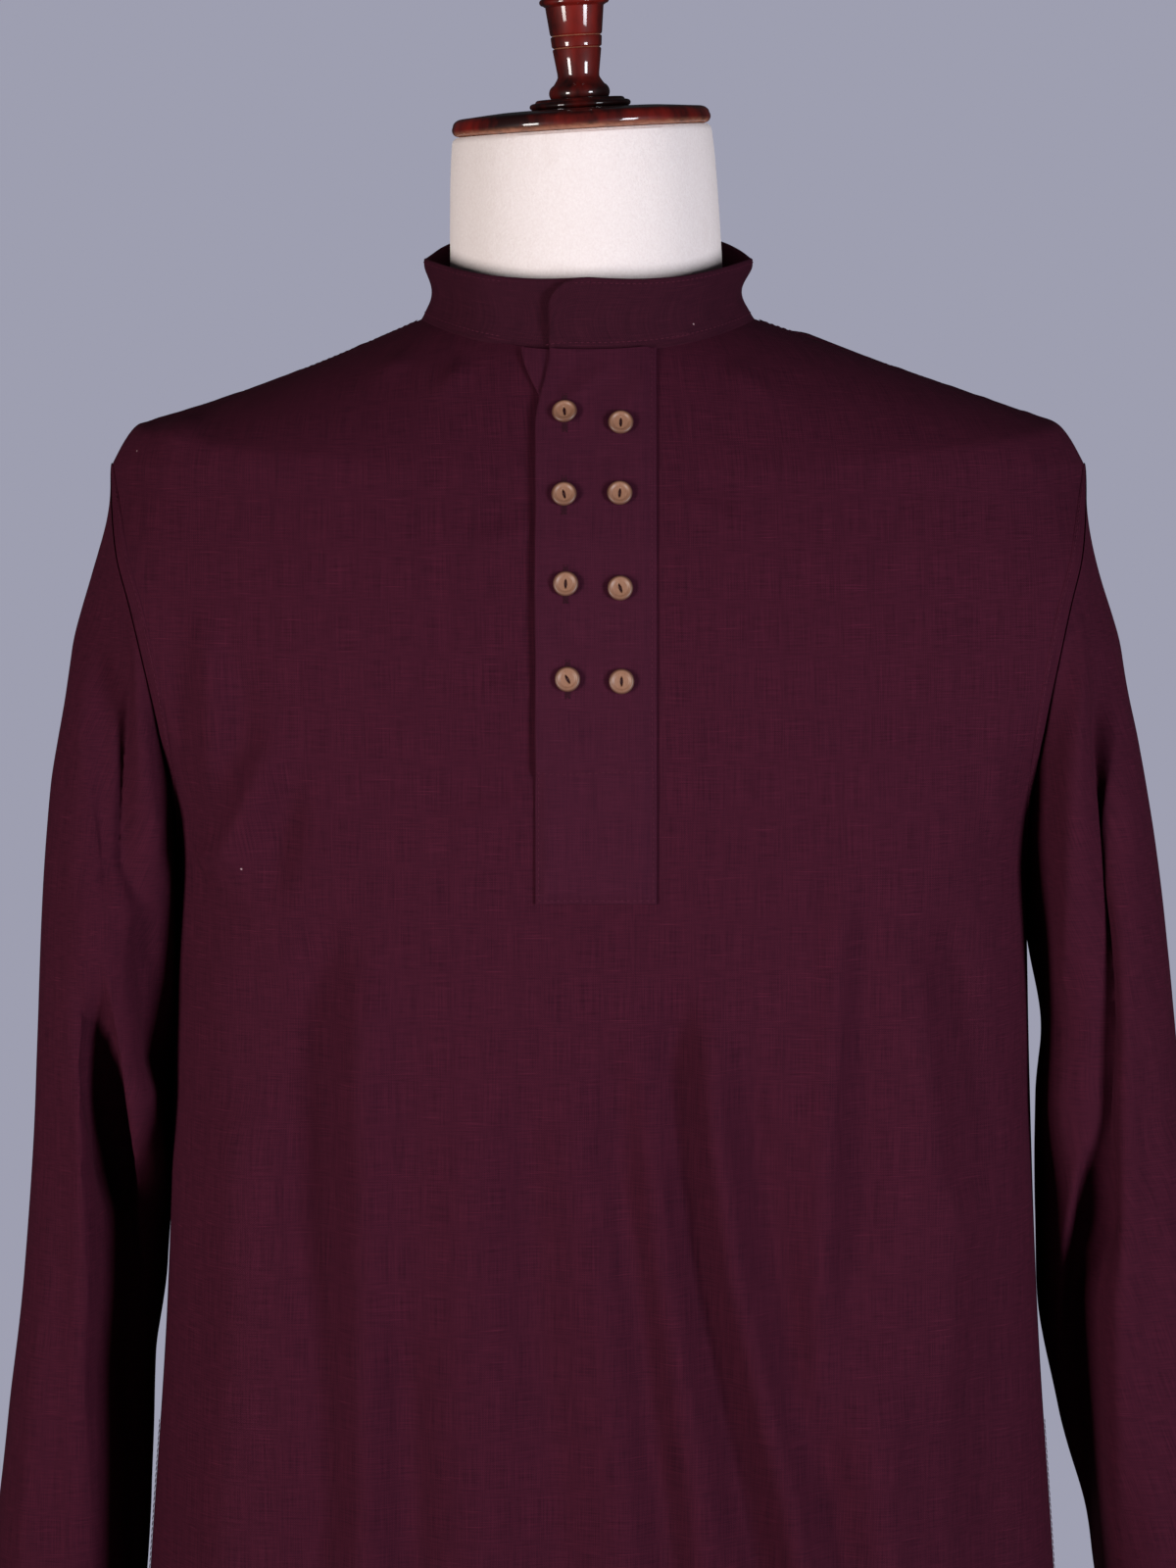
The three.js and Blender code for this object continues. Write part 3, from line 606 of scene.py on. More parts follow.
def cotton(name, dark, bright, slub=1.0):
    """A cloth of the shared weave. dark and bright are its two yarns' colours, which the collar's copy
    darkens as painted shade.
    """
    material, tree, shader = new_material(name)
    place = add_node(tree, "ShaderNodeUVMap", uv_map="cut")
    woven = add_node(tree, "ShaderNodeGroup", node_tree=weave)
    woven.inputs["Slub"].default_value = slub
    join(tree, place.outputs[0], woven.inputs["Cut"])
    dyed = mix_colours(tree, woven.outputs["Tone"], (*dark, 1), (*bright, 1))
    lint = mix_colours(tree, woven.outputs["Lint"], dyed, (0.32, 0.2, 0.22, 1))
    dress(tree, shader, lint, woven.outputs["Relief"], 0.55, 0.00016, Roughness=0.78,
          Specular_IOR_Level=0.035, Sheen_Weight=0.012, Sheen_Roughness=0.45,
          Sheen_Tint=(0.9, 0.45, 0.6, 1))
    return material


body_cotton = cotton("maroon_cotton", (0.0120, 0.0024, 0.0068), (0.0710, 0.0102, 0.0240))
placket_cotton = cotton("placket_cotton", (0.0170, 0.0036, 0.0095), (0.0730, 0.0118, 0.0275), slub=0.85)
# The collar's copy of the same cloth has darker yarns than the body's: painted shade for the shadow the
# collar stands in beside the neck.
collar_cotton_painted_shade = cotton("maroon_cotton_collar_painted_shade", (0.0115, 0.0028, 0.0068), (0.0530, 0.0092, 0.0195),
                       slub=0.85)
print("cottons:", body_cotton.name, placket_cotton.name, collar_cotton_painted_shade.name)

# %% [markdown]
# ## Front and back
# The grids are closer together near the side edges, where the form turns, and round the armholes.
# Each crease pushes the cloth along its own normal and dies away at the seams, so the pieces
# still meet. A little slackness, too small to see as a fold, keeps the large surfaces from
# looking moulded.


# %% Panels
CLOTH = 0.9  # wall of the shown cloth
ARMHOLE_ROWS = 58
YOKE_ROWS = 54


def panel_levels(skirt_rows):
    skirt = np.linspace(HEM_Z, UNDERARM_Z, skirt_rows + 1)
    turns = np.linspace(0, math.pi, ARMHOLE_ROWS + 1)[1:]
    even = np.linspace(0, 1, ARMHOLE_ROWS + 1)[1:]
    share = 0.5 * (1 - np.cos(turns)) / 2 + 0.5 * even
    armhole = mix(UNDERARM_Z, SHOULDER_Z, share)
    yoke = SHOULDER_Z + (np.linspace(0, 1, YOKE_ROWS + 1)[1:]) ** 1.25
    return np.concatenate([skirt, armhole, yoke])


def slack(x, z, seed):
    """Faint unevenness of cloth that hangs free, under half a millimetre."""
    slow = wander(x + 0.35 * z, 34, seed) * wander(z - 0.2 * x, 60, seed + 1)
    quick = wander(x - 0.2 * z, 15, seed + 2) * wander(z + 0.3 * x, 23, seed + 3)
    return 0.42 * slow + 0.14 * quick


# These deepen or ease all of the front's creases, below and above the underarms.
LOW_GAIN = 3.3
HIGH_GAIN = 1.9
GAIN_SPAN = 90  # the height over which the one passes into the other


def front_creases(x, z):
    gain = mix(LOW_GAIN, HIGH_GAIN, smooth((z - UNDERARM_Z + 22) / GAIN_SPAN))
    return gain * crease_height(FRONT_CREASES, x, z)


def panel_creases(side, x, z, u):
    lift = front_creases(x, z) if side < 0 else crease_height(BACK_CREASES, x, z)
    lift = lift + slack(x, z, 11 if side < 0 else 21)
    return lift * (1 - np.abs(u) ** 8) * smooth((1 - np.abs(u)) * 25)


def panel_cut(side, grid, levels):
    """The cut's measure: along the row for the weft, and up the cloth for the warp."""
    half, shift = panel_half(SHOULDER_Z), panel_shift(SHOULDER_Z)
    below = panel_point(side, np.clip((grid[..., 0] - shift) / half, -1, 1), float(SHOULDER_Z))
    over = np.hypot(grid[..., 2] - SHOULDER_Z, grid[..., 1] - below[..., 1])
    warp = np.where((levels > SHOULDER_Z)[:, None], SHOULDER_Z + over, grid[..., 2])
    return np.stack([along_rows(grid), warp], -1)


def panel(name, side, columns, skirt_rows):
    levels = panel_levels(skirt_rows)
    even = np.linspace(-1, 1, columns + 1)
    u = -side * (0.45 * even + 0.55 * np.sin(even * math.pi / 2))
    form = panel_point(side, u[None, :], levels[:, None])
    lift = panel_creases(side, form[..., 0], form[..., 2], u[None, :])
    outer = form + grid_normals(form) * lift[..., None]
    inner_way = grid_normals(outer)
    for edge in (0, -1):  # at a seam both cloths lean the same way, so their insides stay apart
        armhole = (levels > UNDERARM_Z - 1) & (levels <= SHOULDER_Z)
        rise = outer[:, edge, 2] - (UNDERARM_Z + SHOULDER_Z) / 2
        round_hole = np.stack([np.zeros(len(levels)), outer[:, edge, 1], rise], -1)
        flat_seam = inner_way[:, edge] * np.array([1, 0, 1])
        way = np.where(armhole[:, None], round_hole, flat_seam)
        inner_way[:, edge] = way / np.linalg.norm(way, axis=-1, keepdims=True)
    piece = cloth_wall(name, outer, outer - inner_way * CLOTH, panel_cut(side, form, levels))
    piece.data.materials.append(body_cotton)
    report(piece)
    return piece


front_cloth = panel("front_cloth", -1, 156, 184)
back_cloth = panel("back_cloth", 1, 110, 120)

# %% [markdown]
# ## Sleeves
# A sleeve starts at the armhole and falls as a tube. Beside the body its front breaks into a
# deep fold that turns towards the back, which is why the inner half of each sleeve is dark. The
# creases are drawn in front view like those of the body, on the front half of the tube only.

# %% Sleeve form
sleeve_outer = {
    -1: curve_through((CUFF_Z, 310), (938, 293), (1012, 283), (1104, 276), (1203, 271), (1277, 264),
                      (1349, 254), (1385, 247), (SHOULDER_Z, 239.5)),
    1: curve_through((CUFF_Z, 328), (938, 309), (1012, 300), (1104, 289), (1203, 277), (1277, 265),
                     (1349, 253), (1385, 247), (SHOULDER_Z, 239.5)),
}
sleeve_inner = {
    -1: curve_through((CUFF_Z, 232), (860, 225), (888, 224), (917, 223), (964, 221.5), (1012, 214),
                      (1104, 209.3), (UNDERARM_Z, 207.5)),
    1: curve_through((CUFF_Z, 262), (860, 250), (888, 246), (938, 232), (995, 221.2), (1050, 218.2),
                     (1097, 218.5), (1140, 222), (1180, 219), (UNDERARM_Z, 214.5)),
}
sleeve_depth = curve_through((CUFF_Z, 57), (940, 66), (1100, 76), (UNDERARM_Z, 80), (SHOULDER_Z, 74))

# Deep folds that run the length of a sleeve: where round the tube, how deep, and how wide. The
# place is an angle from the outer edge, and less than 0 is in front.
SLEEVE_FOLDS = {
    -1: [(2.1, 7, 0.4), (-0.75, -3, 0.35)],
    1: [(1.2, 7, 0.4), (-0.8, -3, 0.3)],
}
# The fold beside the body: where it starts round the tube by height, the heights over which it
# opens, the share of the depth that it takes away, and how much lower it opens beside the body.
SLEEVE_BREAK = {
    -1: (curve_through((CUFF_Z, 2.15), (888, 1.95), (1028, 1.52), (1084, 1.36), (1150, 1.28)),
         1185, 1065, 0.76, 75),
    1: (curve_through((CUFF_Z, 2.4), (888, 2.25), (935, 1.92), (983, 1.75), (1040, 1.66), (1100, 1.66)),
        1095, 1000, 0.8, 45),
}
SLEEVE_CREASES = {
    -1: [
        crease([(-227, 1360), (-227, 1300), (-226, 1250), (-225, 1190)], -14, 20, 4, swell=50, fade=45),
        crease([(-215, 1345), (-215, 1280), (-214, 1215), (-213, 1160), (-207, 1100)], 6, 8, 7,
               swell=50, fade=50),
        crease([(-224, 1205), (-220, 1160), (-213, 1105)], -6, 10, 4, swell=30, fade=20),
        crease([(-241, 1209), (-232, 1217), (-222, 1226)], -2.4, 4, swell=8, fade=6),
        crease([(-229, 1345), (-232, 1290), (-229, 1225), (-225, 1160), (-220, 1090), (-214, 1035)],
               5.5, 7, 5, swell=60, fade=50),
        crease([(-251, 1172), (-246, 1131), (-240, 1084), (-236, 1040)], -7, 4, 13, swell=45, fade=30),
        crease([(-262, 1300), (-268, 1200), (-272, 1080), (-280, 940), (-290, 800)], 2, 10, fade=0),
        crease([(-262, 1120), (-262, 1040), (-264, 940), (-268, 800)], -2.4, 9, fade=0),
    ],
    1: [
        crease([(230, 1372), (231, 1300), (231, 1183), (229, 1097), (227, 1045)], 7, 9, 5, swell=50,
               fade=60),
        crease([(243, 1330), (243, 1240), (243, 1150), (242, 1060), (242, 1000)], -14, 4, 11, swell=60,
               fade=50),
        crease([(251, 1250), (253, 1150), (254, 1000), (258, 800)], 3, 8, swell=60, fade=0),
        crease([(266, 1320), (272, 1200), (280, 1060), (292, 920), (306, 800)], 2.2, 11, fade=0),
        crease([(262, 1180), (270, 1060), (278, 940), (288, 800)], -2.2, 9, fade=0),
    ],
}


def turn_apart(turn, other):
    return (turn - other + math.pi) % (2 * math.pi) - math.pi


def sleeve_point(hand, turn, down):
    """A point of a sleeve. turn goes round the tube and down runs from the seam to the cuff."""
    turn, down = np.broadcast_arrays(turn, down)
    outward = math.pi - turn if hand < 0 else turn
    seam_z = mix(UNDERARM_Z, SHOULDER_Z, (1 + np.cos(outward)) / 2)
    z = mix(seam_z, CUFF_Z, down)
    facing = np.sin(turn)
    outer = sleeve_outer[hand](z)
    inner = sleeve_inner[hand](np.minimum(z, UNDERARM_Z))
    fold = np.zeros(z.shape)
    for place, depth, width in SLEEVE_FOLDS[hand]:
        fold = fold + depth * np.exp(-(turn_apart(outward, place) / width) ** 2)
    fold = fold * smooth((seam_z - z) / 160)
    free_x = hand * (outer + inner) / 2 + np.cos(turn) * ((outer - inner) / 2 - fold * 0.6)
    start, high, low, taken, held = SLEEVE_BREAK[hand]
    past_start = np.abs(turn_apart(outward, 0)) - start(z)
    beside = smooth((past_start - 0.3) / 0.5)
    opened = smooth((high - held * beside - z) / (high - low))
    turned_in = smooth(past_start / 0.56) * (facing < 0)
    free_y = facing * (sleeve_depth(z) - fold) * (1 - taken * turned_in * opened)
    free = smooth((seam_z - z) / 90)
    seam_x = panel_shift(seam_z) + hand * (panel_half(seam_z) + 2 * SEAM)
    seam_y = np.where(facing < 0, -1, 1) * edge_depth(seam_z) * (np.abs(facing) > 1e-9)
    return np.stack([mix(seam_x, free_x, free), mix(seam_y, free_y, free), z], -1)


# %% Sleeves
def sleeve_lift(hand, turn, form, down):
    in_front = smooth(0.35 - 1.6 * np.sin(turn))
    lift = crease_height(SLEEVE_CREASES[hand], form[..., 0], form[..., 2]) * in_front
    elbow = wander(form[..., 2] + 30 * np.cos(turn), 42, 31 + hand) * (1 - in_front)
    lift = lift + slack(form[..., 0] * 2 + 50 * turn, form[..., 2], 41 + hand) + 1.2 * elbow
    return lift * smooth(down * 12)


def sleeve(name, hand, columns=116, rows=190):
    turn = np.linspace(0, 2 * math.pi, columns + 1)[:-1][None, :]
    down = (np.linspace(1, 0, rows + 1) ** 1.15)[:, None]
    form = sleeve_point(hand, turn, down)
    outer = form + grid_normals(form, wrap=True) * sleeve_lift(hand, turn, form, down)[..., None]
    inner_way = grid_normals(outer, wrap=True)
    rise = outer[-1, :, 2] - (UNDERARM_Z + SHOULDER_Z) / 2
    round_hole = np.stack([np.zeros(columns), outer[-1, :, 1], rise], -1)
    inner_way[-1] = round_hole / np.maximum(np.linalg.norm(round_hole, axis=-1, keepdims=True), 1e-9)
    closed = np.concatenate([outer, outer[:, :1]], 1)
    cut = np.stack([along_rows(closed), closed[..., 2]], -1)
    piece = cloth_wall(name, outer, outer - inner_way * CLOTH, cut, wrap=True)
    piece.data.materials.append(body_cotton)
    report(piece)
    return piece


sleeve_cloth_left = sleeve("sleeve_cloth_left", -1)
sleeve_cloth_right = sleeve("sleeve_cloth_right", 1)

# %% [markdown]
# ## Collar
# The stand collar is a doubled band. It starts at its lapping end, left of the centre front, with
# a rounded corner, runs round the neck and ends under its own start. Its folded top edge is
# round, and its base is turned under onto the neck seam.

# %% Collar
BAND = 1.7  # wall of the doubled cloth
COLLAR_START = math.radians(-103.5)
COLLAR_SWEEP = 2 * math.pi + math.radians(30)
LAP_INSET = BAND + 0.6
CORNER = 13.0  # radius of the lapping end's top corner
COLLAR_ROUND = 68  # about how far the band stands from the neck's middle, to turn angles into lengths
COLLAR_TALL = 33  # about how high it stands
BASE_DROP = 1.9  # the turned-under base laps this far down over the neck seam


def collar_stand(turn):
    return np.where(np.sin(turn) < 0, mix(34, 28.5, np.abs(np.cos(turn))),
                    mix(36.5, 28.5, np.abs(np.cos(turn)) ** 8))


def collar_point(turn, climb, out):
    side = np.where(np.sin(turn) < 0, -1, 1)
    u = np.cos(turn)
    travelled = turn - COLLAR_START
    inset = LAP_INSET * smooth((travelled - (2 * math.pi - 0.5)) / 0.35)
    lean = 1.5 * climb * np.where(side < 0, 1, 0.5)
    from_end = travelled * COLLAR_ROUND
    flare = 2.1 * np.exp(-climb / 0.07) + 1.1 * np.exp(-np.maximum(from_end, 0) / 9) * smooth(climb * 5)
    radius_x = NECK_HALF - inset + out + lean * 0.4 + flare
    radius_y = np.where(side < 0, NECK_FRONT, NECK_BACK) - inset + out + lean + flare
    lost = CORNER - np.sqrt(np.maximum(0, CORNER**2 - np.maximum(0, CORNER - from_end) ** 2))
    height = (collar_stand(turn) - lost) * climb
    base = neck_seam_z(side, u) + 2 * SEAM - BASE_DROP * (1 - smooth(climb * 6))
    return np.stack([NECK_SHIFT + radius_x * u, radius_y * np.sin(turn), base + height], -1)


def collar_wave(turn, climb):
    """The band's soft dents: a pinch each side of the neck and slight waves round it."""
    pinch = sum(deep * np.exp(-(turn_apart(turn, at) / 0.42) ** 2)
                for at, deep in ((0.0, -5.2), (math.pi, -3.4)))
    run = turn * COLLAR_ROUND
    ease = 0.5 * wander(run, 26, 51) + 0.25 * wander(run + 25 * climb, 11, 52)
    from_fold = turn_apart(turn, math.radians(-66)) * COLLAR_ROUND - 26 * (climb - 0.6)
    fold = 0.9 * np.exp(-(from_fold / 6) ** 2)
    waist = np.sin(math.pi * np.clip(climb * 1.15, 0, 1)) ** 1.5
    return pinch * waist + (ease * smooth(climb * 2.5) + fold) * smooth(climb * 6)


def rounded_share(distance, radius):
    """A folded edge's share of the full thickness, by the distance in from the edge."""
    s = np.clip(distance / radius, 0, 1)
    return np.maximum(0.12, np.sqrt(1 - (1 - s) ** 2))


collar_turns = COLLAR_START + COLLAR_SWEEP * np.concatenate(
    [[0, 0.0004, 0.0012, 0.0025], np.linspace(0.004, 0.996, 250), [0.998, 1]])[None, :]
collar_climbs = np.concatenate([[0, 0.012, 0.03], np.linspace(0.07, 0.93, 18), [0.965, 0.985, 1]])[:, None]
collar_middle = collar_point(collar_turns, collar_climbs, -BAND / 2)
collar_way = grid_normals(collar_middle)
collar_middle = collar_middle + collar_way * collar_wave(collar_turns, collar_climbs)[..., None]
collar_up = collar_climbs * COLLAR_TALL + 0 * collar_turns
edge_end = (collar_turns - COLLAR_START) * COLLAR_ROUND
edge_top = np.minimum(COLLAR_TALL - collar_up, edge_end)
collar_half = collar_way * (rounded_share(np.minimum(edge_top, collar_up + 0.2), 0.9) * BAND / 2)[..., None]
collar_cut = np.stack([along_rows(collar_middle), collar_up], -1)
collar_band = cloth_wall("collar_band", collar_middle + collar_half, collar_middle - collar_half, collar_cut)
collar_band.data.materials.append(collar_cotton_painted_shade)
report(collar_band)

# %% [markdown]
# ## Placket
# Two doubled strips lie on the front. The under one shows only as a narrow wedge by the collar.
# The lapping one has a free folded edge on the left, a stitched edge on the right, and a box of
# stitches at its foot. Both take their points from the front's own form, moved out.

# %% Placket strips
PLACKET_FOOT = 1208
BOX_TOP = 1270  # the upper row of the box of stitches
STRIP = 1.2  # wall of each doubled strip
UNDER_OUT = 0.75  # the under strip's inner face, out from the front's form
OVER_OUT = UNDER_OUT + STRIP + 0.35


def on_front(x, level, out=0.0):
    """Points on the front at given x, moved out along the cloth's normal."""
    x, level = np.broadcast_arrays(np.asarray(x, float), np.asarray(level, float))
    half, shift = level_width(level)
    u = (x - shift) / half
    rise = np.where(level > SHOULDER_Z - 1, 0.02, 2.0)
    right = panel_point(-1, u + 0.02, level) - panel_point(-1, u - 0.02, level)
    up = panel_point(-1, u, level + rise) - panel_point(-1, u, level - rise)
    normal = np.cross(right, up)
    normal = normal / np.linalg.norm(normal, axis=-1, keepdims=True)
    point = panel_point(-1, u, level)
    lift = front_creases(x, point[..., 2])
    return point + normal * (out + lift)[..., None], normal


def level_at(z):
    """The level whose height at the centre front is z."""
    z = np.asarray(z, float)
    above = SHOULDER_Z + (z - SHOULDER_Z) / (NECK_FRONT_Z - SHOULDER_Z)
    return np.where(z <= SHOULDER_Z, z, above)


def strip_edges(level, left, right, top_left):
    swing = smooth((level - SHOULDER_Z - 0.35) / 0.65)
    return mix(left, top_left, swing), np.full(level.shape, right, float)


# Pulls in the lapping strip: from the top button up to the collar, and between the buttons.
PLACKET_CREASES = [
    crease([(-14, 1442), (-4, 1452), (8, 1462)], 0.9, 3.5, swell=5, fade=8),
    crease([(-22, 1446), (-14, 1456), (-6, 1466)], -0.7, 3.5, swell=6, fade=8),
    crease([(12, 1436), (20, 1450), (25, 1462)], 0.6, 4, swell=6, fade=8),
    crease([(-27, 1418), (-8, 1414), (14, 1420)], -0.6, 6, swell=10, fade=12),
    crease([(-27, 1380), (-6, 1377), (12, 1382)], 0.5, 6, swell=10, fade=12),
    crease([(-27, 1336), (-6, 1332), (14, 1338)], -0.6, 7, swell=10, fade=12),
    crease([(-24, 1300), (-12, 1288), (4, 1280)], 0.7, 5, swell=8, fade=14),
    crease([(22, 1300), (10, 1290), (-2, 1284)], 0.5, 5, swell=8, fade=14),
]


def pressed_down(x, z):
    """How far the lapping strip is drawn down along its stitched edges."""
    boxed = smooth((BOX_TOP + 2 - z) / 5)
    right = smooth((x - 21.5) / 5.5)
    left = smooth((-23.5 - x) / 4.5) * boxed
    foot = smooth((PLACKET_FOOT + 5.5 - z) / 4.5)
    return (OVER_OUT - 0.25) * np.maximum(right, np.maximum(left, foot))


def placket_strip(name, edges, foot, out, creases, seed, pressed=0):
    levels = level_at(np.concatenate([
        [foot, foot + 0.25, foot + 0.6], np.linspace(foot + 1.4, NECK_FRONT_Z - 1.2, 176)]))
    left, right = strip_edges(levels, *edges)
    shares = np.concatenate([[0, 0.004, 0.012], np.linspace(0.03, 0.97, 34), [0.988, 0.996, 1]])
    x = mix(left[:, None], right[:, None], shares[None, :])
    waver = 0.25 * wander(levels, 17, seed)[:, None] * (1 - shares)[None, :]
    middle, way = on_front(x + waver, levels[:, None], out + STRIP / 2)
    lift = crease_height(creases, x, middle[..., 2]) + 0.16 * slack(3 * x, 2 * middle[..., 2], seed)
    lift = lift - pressed * pressed_down(x, middle[..., 2])
    middle = middle + way * lift[..., None]
    width = right[:, None] - left[:, None]
    edge = np.minimum(np.minimum(shares, 1 - shares)[None, :] * width, (middle[..., 2] - foot) + 0.05)
    thick = (rounded_share(edge, 0.7) * STRIP / 2)[..., None]
    cut = np.stack([x, middle[..., 2]], -1)
    piece = cloth_wall(name, middle + way * thick, middle - way * thick, cut)
    piece.data.materials.append(placket_cotton)
    report(piece)
    return piece


placket_under_strip = placket_strip("placket_under_strip", (-23, 20, -36), PLACKET_FOOT + 7, UNDER_OUT,
                                    [], 61)
OVER_SEED = 65
placket_over_strip = placket_strip("placket_over_strip", (-29, 28.5, -22), PLACKET_FOOT, OVER_OUT,
                                   PLACKET_CREASES, OVER_SEED, pressed=1)

# %% [markdown]
# ## Buttons
# Each button is a turned wooden disc with a round rim, a dished face and one long eye, through
# which a dark thread is sewn. The face is a polar grid, so the dish and the eye are carved by one
# depth formula. Columns a and b stand left and right, and no two eyes are turned alike.

# %% Button shape
BUTTON_R = 6.0
BUTTONS = {  # name: place across, height, turn of the eye in degrees, tip up and to the left
    "button_a1": (-15, 1437, 10, 0.16), "button_a2": (-15.3, 1399, 15, 0.04),
    "button_a3": (-14.5, 1358, 0, 0.03), "button_a4": (-13.6, 1314, 30, 0.05),
    "button_b1": (11.5, 1432, 0, 0.02), "button_b2": (11, 1399.5, -5, 0.02),
    "button_b3": (11.2, 1356, 20, 0.03), "button_b4": (11.8, 1313, 0, 0.02),
}


def button_surface():
    """A closed turned disc, on z = 0, with its eye along y."""
    rings = [(0.02, 0), (4.6, 0), (5.3, 0.25), (5.8, 0.7), (BUTTON_R, 1.25), (5.9, 1.7), (5.6, 2.1),
             (5.2, 2.35), (4.8, 2.4), (4.4, 2.28), (4.0, 2.0), (3.6, 1.72)]
    face = [(r, 1.42 + 0.3 * (r / 3.6) ** 2) for r in np.linspace(3.3, 0.02, 16)]
    profile = np.array(rings + face)
    turns = np.linspace(0, 2 * math.pi, 57)[:-1]
    x = profile[:, :1] * np.cos(turns)
    y = profile[:, :1] * np.sin(turns)
    z = np.repeat(profile[:, 1:], len(turns), 1)
    reach = (x / 0.72) ** 2 + (np.abs(y) / 2.35) ** 1.6
    is_face = np.arange(len(profile))[:, None] >= len(rings) - 2
    z = z - 1.15 * smooth((1.25 - reach) / 0.6) * is_face
    return np.stack([x, y, z], -1)


def place_on(points, centre, normal, spin):
    """Points of a shape that stands on z = 0, moved to a place on the cloth."""
    normal = np.array(normal) / np.linalg.norm(normal)
    right = np.cross([0, 0, 1.0], normal)
    right = right / np.linalg.norm(right)
    up = np.cross(normal, right)
    c, s = math.cos(spin), math.sin(spin)
    x = points[..., 0] * c - points[..., 1] * s
    y = points[..., 0] * s + points[..., 1] * c
    return centre + x[..., None] * right + y[..., None] * up + points[..., 2:] * normal


# %% Wood of the buttons
def make_button_wood():
    material, tree, shader = new_material("button_wood")
    place = add_node(tree, "ShaderNodeUVMap", uv_map="cut")
    grain = stretched_noise(tree, place.outputs[0], (2600, 420, 1), 4.0, 0.65)
    cloud = stretched_noise(tree, place.outputs[0], (260, 260, 1), 2.0)
    radius = add_node(tree, "ShaderNodeVectorMath", operation="LENGTH")
    wrapped = add_node(tree, "ShaderNodeVectorMath", operation="MODULO")
    wrapped.inputs[1].default_value = (0.02, 1, 1)
    join(tree, place.outputs[0], wrapped.inputs[0])
    centred = add_node(tree, "ShaderNodeVectorMath", operation="SUBTRACT")
    centred.inputs[1].default_value = (0.01, 0, 0)
    join(tree, wrapped.outputs[0], centred.inputs[0])
    join(tree, centred.outputs[0], radius.inputs[0])
    out = calculate(tree, "DIVIDE", radius.outputs["Value"], BUTTON_R * MM)
    wood = mix_colours(tree, grain, (0.15, 0.065, 0.038, 1), (0.33, 0.175, 0.112, 1))
    wood = mix_colours(tree, calculate(tree, "MULTIPLY", cloud, 0.35), wood, (0.25, 0.11, 0.06, 1))
    rim = calculate(tree, "MULTIPLY_ADD", out, 4.5, -3.35)
    rimmed = mix_colours(tree, clamped(tree, rim, 0.85), wood, (0.075, 0.027, 0.017, 1))
    dress(tree, shader, rimmed, grain, 0.25, 0.0001, Specular_IOR_Level=0.45)
    join(tree, calculate(tree, "MULTIPLY_ADD", grain, 0.2, 0.34), shader.inputs["Roughness"])
    return material


button_wood = make_button_wood()


def make_thread(name, colour):
    material, tree, shader = new_material(name)
    place = add_node(tree, "ShaderNodeTexCoord")
    twist = add_node(tree, "ShaderNodeTexWave", {"Scale": 900.0, "Distortion": 2.0},
                     bands_direction="DIAGONAL")
    join(tree, place.outputs["Object"], twist.inputs["Vector"])
    darker = tuple(0.55 * c for c in colour)
    plied = mix_colours(tree, twist.outputs["Fac"], (*darker, 1), (*colour, 1))
    dress(tree, shader, plied, twist.outputs["Fac"], 0.4, 0.00005, Roughness=0.7, Specular_IOR_Level=0.1)
    return material


maroon_thread = make_thread("maroon_thread", (0.085, 0.013, 0.030))
dark_thread = make_thread("dark_thread", (0.030, 0.006, 0.012))


# %% Eight buttons with their threads
def tube_along(points, radius, sides=8):
    """Rings round a short line of points, for a thread with round ends."""
    points = np.array(points, float)
    ahead = np.gradient(points, axis=0)
    ahead = ahead / np.linalg.norm(ahead, axis=-1, keepdims=True)
    side = np.cross(ahead, [0, 0, 1.0]) + 1e-6
    side = side / np.linalg.norm(side, axis=-1, keepdims=True)
    up = np.cross(side, ahead)
    turns = np.linspace(0, 2 * math.pi, sides + 1)[:-1]
    swell = radius * np.sin(np.linspace(0.2, math.pi - 0.2, len(points))) ** 0.4
    ring = np.cos(turns)[None, :, None] * side[:, None] + np.sin(turns)[None, :, None] * up[:, None]
    return points[:, None] + ring * swell[:, None, None]


def closed_rings(grids):
    """Points and faces of closed bodies, each from a grid whose columns wrap."""
    points, faces, start = [], [], 0
    for grid in grids:
        rows, columns = grid.shape[:2]
        number = np.arange(rows * columns).reshape(rows, columns) + start
        faces += strip_of_faces(np.concatenate([number, number[:, :1]], 1)).tolist()
        faces.append(number[0, ::-1].tolist())
        faces.append(number[-1].tolist())
        points.append(grid.reshape(-1, 3))
        start += rows * columns
    return np.concatenate(points), faces


def turned_piece(name, grids, cut_grids, crisp=40):
    """A piece of wrapped grids with a flat UV of their own."""
    points, faces = closed_rings(grids)
    flat = np.concatenate([g.reshape(-1, 2) for g in cut_grids])
    order = np.array([i for face in faces for i in face])
    return new_piece(name, points, faces, flat, order, crisp)


button_pieces = {}
thread_pieces = []
button_form = button_surface()
for number, (name, (x, z, spin, tip)) in enumerate(BUTTONS.items()):
    centre, normal = on_front(x, level_at(z), OVER_OUT + STRIP + 2 * SEAM)
    lift = crease_height(PLACKET_CREASES, np.array(float(x)), np.array(float(z)))
    centre = centre + normal * max(0.0, float(lift))
    normal = normal + np.array([-tip * 0.6, 0, tip])
    spin = math.radians(spin)
    body = place_on(button_form, centre, normal, spin)
    cut = button_form[..., :2] + np.array([10 + 20 * number, 0])
    button = turned_piece(f"{name}_turned", [body], [cut])
    button.data.materials.append(button_wood)
    strands = [
        tube_along([(dx, y, 0.75 + 0.5 * math.cos(y * 0.9)) for y in np.linspace(-1.7, 1.7, 9)], 0.17)
        for dx in (-0.16, 0.17)]
    threads = [place_on(strand, centre, normal, spin) for strand in strands]
    sewn = turned_piece(f"{name}_thread", threads, [t[..., :2] for t in strands])
    sewn.data.materials.append(dark_thread)
    button_pieces[name] = button
    thread_pieces.append(sewn)
print(len(button_pieces), "buttons of", len(button_form.reshape(-1, 3)), "points")

